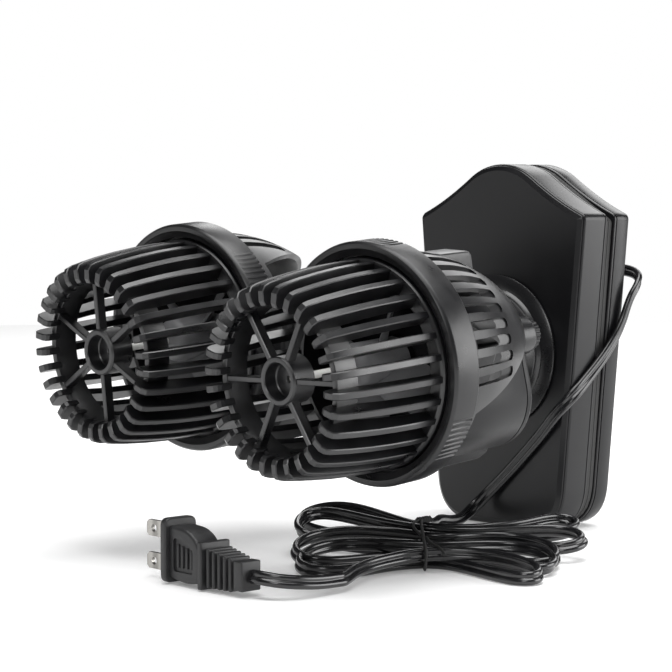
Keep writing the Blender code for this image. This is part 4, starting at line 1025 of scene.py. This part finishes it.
def teardrop(big, small):
    """Outline of the motor: a small ear round the head's axis, and the large lobe below it."""
    lean = math.asin((big - small) / LOBE_DROP)
    upper = arc((0.0, 0.0), small, lean, math.pi - lean, 16)
    return upper + arc((0.0, -LOBE_DROP), big, math.pi - lean, TURN + lean, 48)


def motor_body():
    """Sealed motor: lobe, leg block, foot rail with a notch, and the front plate with the rotor well."""
    bm = bmesh.new()
    lobe = bmesh.new()
    prism(lobe, teardrop(LOBE_RADIUS, EAR_RADIUS), 46.8, 104.0, front_view)
    merged(bm, rounded(lobe, 0.5, 60.0, 2))
    legs = bmesh.new()
    box(legs, (-19.1, -105.0, -LOBE_DROP), (19.1, -70.2, 11.3))
    merged(bm, rounded(legs, 2.0, 40.0, 3))
    rail = bmesh.new()
    outline = [(-47.8, 55.5), (-45.2, 51.0), (-42.4, 51.0), (-42.4, 56.5)]
    outline += [(-38.0, 56.5), (-38.0, 103.0), (-47.8, 103.0)]
    prism(rail, softened(outline, 1.2, 4), -13.0, 13.0, side_view)
    merged(bm, rounded(rail, 1.2, 40.0, 3))
    plate = [(9.6, 104.0), (40.0, 104.0), (40.3, 104.3), (40.3, 107.2), (40.0, 107.5)]
    plate += [(10.4, 107.5), (9.6, 106.9)]
    revolve(bm, plate, 96)
    revolve(bm, [(9.6, 104.5), (11.3, 104.5), (11.3, 68.0), (9.6, 68.0)], 48)
    return bm


def motor_cap():
    """End cap of the motor, with a rounded rim, a raised ring and a spigot into the lobe."""
    bm = bmesh.new()
    cap = bmesh.new()
    rear = 43.0
    prism(cap, teardrop(LOBE_RADIUS, EAR_RADIUS), rear, 46.6, front_view)
    bmesh.ops.recalc_face_normals(cap, faces=cap.faces)
    rim = [e for e in cap.edges if all(abs(v.co.y + rear) < 0.01 for v in e.verts)]
    bmesh.ops.bevel(cap, geom=rim, offset=1.8, segments=5, affect="EDGES", profile=0.5)
    merged(bm, cap)
    ring = [(16.8, 43.2), (16.8, 42.5), (17.1, 42.3), (18.3, 42.3), (18.6, 42.5), (18.6, 43.2)]
    revolve(bm, ring, 96, Matrix.Translation((0.0, 0.0, -LOBE_DROP - 1.0)))
    spigot = [(0.0, 46.2), (19.0, 46.2), (19.0, 50.0), (0.0, 50.0)]
    revolve(bm, spigot, 64, Matrix.Translation((0.0, 0.0, -25.5)))
    return bm


def knob():
    """Knurled nut behind the arm."""
    bm = bmesh.new()
    profile = [(4.9, 31.7), (6.5, 31.7), (6.8, 31.4), (6.8, 28.3), (6.3, 27.9)]
    profile += [(3.0, 27.9), (2.6, 28.3), (0.0, 28.4)]

    def cut(radius, ahead, i):
        return 0.3 if radius > 6.0 and i % 4 > 1 else 0.0

    revolve(bm, profile, 96, closed=False, cut=cut)
    return bm


def propeller():
    """Hub and four twisted, cambered blades."""
    bm = bmesh.new()
    hub = [(1.8, 72.4), (3.2, 72.4), (3.2, 108.8), (8.8, 108.8), (9.2, 109.2), (9.2, 130.0)]
    hub += [(8.9, 131.6), (7.6, 133.8), (5.2, 135.3), (2.2, 135.8), (1.8, 135.6)]
    revolve(bm, hub, 64)
    for i in range(BLADES):
        merged(bm, blade(), around(TURN * i / BLADES))
    return bm


def blade():
    """One blade, from inside the hub to its tip: its pitch, width and thickness fall off outwards."""
    part = bmesh.new()
    rows = []
    steps, facets = 12, 20
    for i in range(steps + 1):
        t = i / steps
        radius = 8.0 + 23.5 * t
        pitch = math.radians(38.0 + 22.0 * (1 - t))
        half = 7.0 + 4.0 * math.sin(math.pi * min(t + 0.25, 1.0) * 0.8)
        along = Vector((math.cos(pitch), -math.sin(pitch), 0.0))
        across = Vector((math.sin(pitch), math.cos(pitch), 0.0))
        centre = Vector((0.0, -119.5, radius))
        row = []
        for k in range(facets):
            a = TURN * k / facets
            u = math.cos(a)
            thick = (1.25 - 0.5 * t) * math.sin(a) * (1 - 0.25 * u * u) + 0.9 * (1 - u * u)
            row.append(part.verts.new(centre + along * (half * u) + across * thick))
        rows.append(row)
    for first, second in zip(rows, rows[1:]):
        bridge(part, first, second)
    part.faces.new(rows[0])
    part.faces.new(rows[-1][::-1])
    return part


def again(name, source, body, move, stands_for):
    """The same shape again, moved to the other head."""
    mesh = source.data.copy()
    mesh.transform(move)
    made = bpy.data.objects.new(name, mesh)
    bpy.context.scene.collection.objects.link(made)
    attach(made, body)
    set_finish(made, source["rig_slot"])
    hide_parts(stands_for)


def heads():
    """Every head piece is made once, on the right, and used again on the left."""
    makers = (
        ("cage", cage, CAGE, "head", "front_grille", 24.0),
        ("twist_ring", twist_ring, SATIN, "ring", "lock_ring", 30.0),
        ("bell", bell, SATIN, "head", "rear_shroud", 30.0),
        ("motor_body", motor_body, SOFT, "head", "motor_housing", 30.0),
        ("motor_cap", motor_cap, SOFT, "head", "end_cap", 30.0),
        ("arm_knob", knob, SOFT, "head", "swivel_nut", 30.0),
        ("impeller", propeller, GREY, "rotor", "propeller", 40.0),
    )
    for name, make, look, body, stands_for, sharp in makers:
        place = head_place("right")
        first = piece(f"right_{name}", make(), look, f"right_{body}", place, (f"right_{stands_for}",), sharp)
        moved = head_place("left") @ around(CAGE_TURNS["left"] if name == "cage" else 0.0)
        again(f"left_{name}", first, f"left_{body}", moved @ place.inverted(), f"left_{stands_for}")


# ---------------------------------------------------------------- CAD nodes that stay

def dress():
    """A finish for every CAD node that is still shown."""
    looks = {
        "front_casing_lid": SOFT, "rear_casing_lid": SOFT, "front_pad": RUBBER, "rear_pad": RUBBER,
        "front_yoke_plate": STEEL, "rear_yoke_plate": STEEL, "ball_liner": NYLON,
        "plug_blade_upper": BLADE, "plug_blade_lower": BLADE,
    }
    endings = {
        "_magnet_lower": MAGNET, "_magnet_upper": MAGNET, "_rotor_magnet": MAGNET, "_shaft": CERAMIC,
        "_stator_core": CORE, "_coil": COPPER, "_bush": RUBBER, "_washer": RUBBER, "_swivel_pin": STEEL,
    }
    for name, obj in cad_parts.items():
        if obj.hide_render:
            continue
        look = looks.get(name)
        for ending, found in endings.items():
            if name.endswith(ending):
                look = found
        obj.data.materials.clear()
        obj.data.materials.append(look)
        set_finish(obj, look["slot"])
        for face in obj.data.polygons:
            face.use_smooth = False


def corners(pair):
    """A low and a high corner as plain lists."""
    return [[round(x, 5) for x in corner] for corner in pair]


def main():
    camera()
    cords()
    studio()
    casing("mount_front_half", WET_PROFILE, 0, "wet_half", "front_casing")
    casing("mount_rear_half", DRY_PROFILE, -1, "dry_half", "rear_casing")
    socket()
    ball_and_stud()
    crossbar()
    stud_nut()
    heads()
    dress()


main()
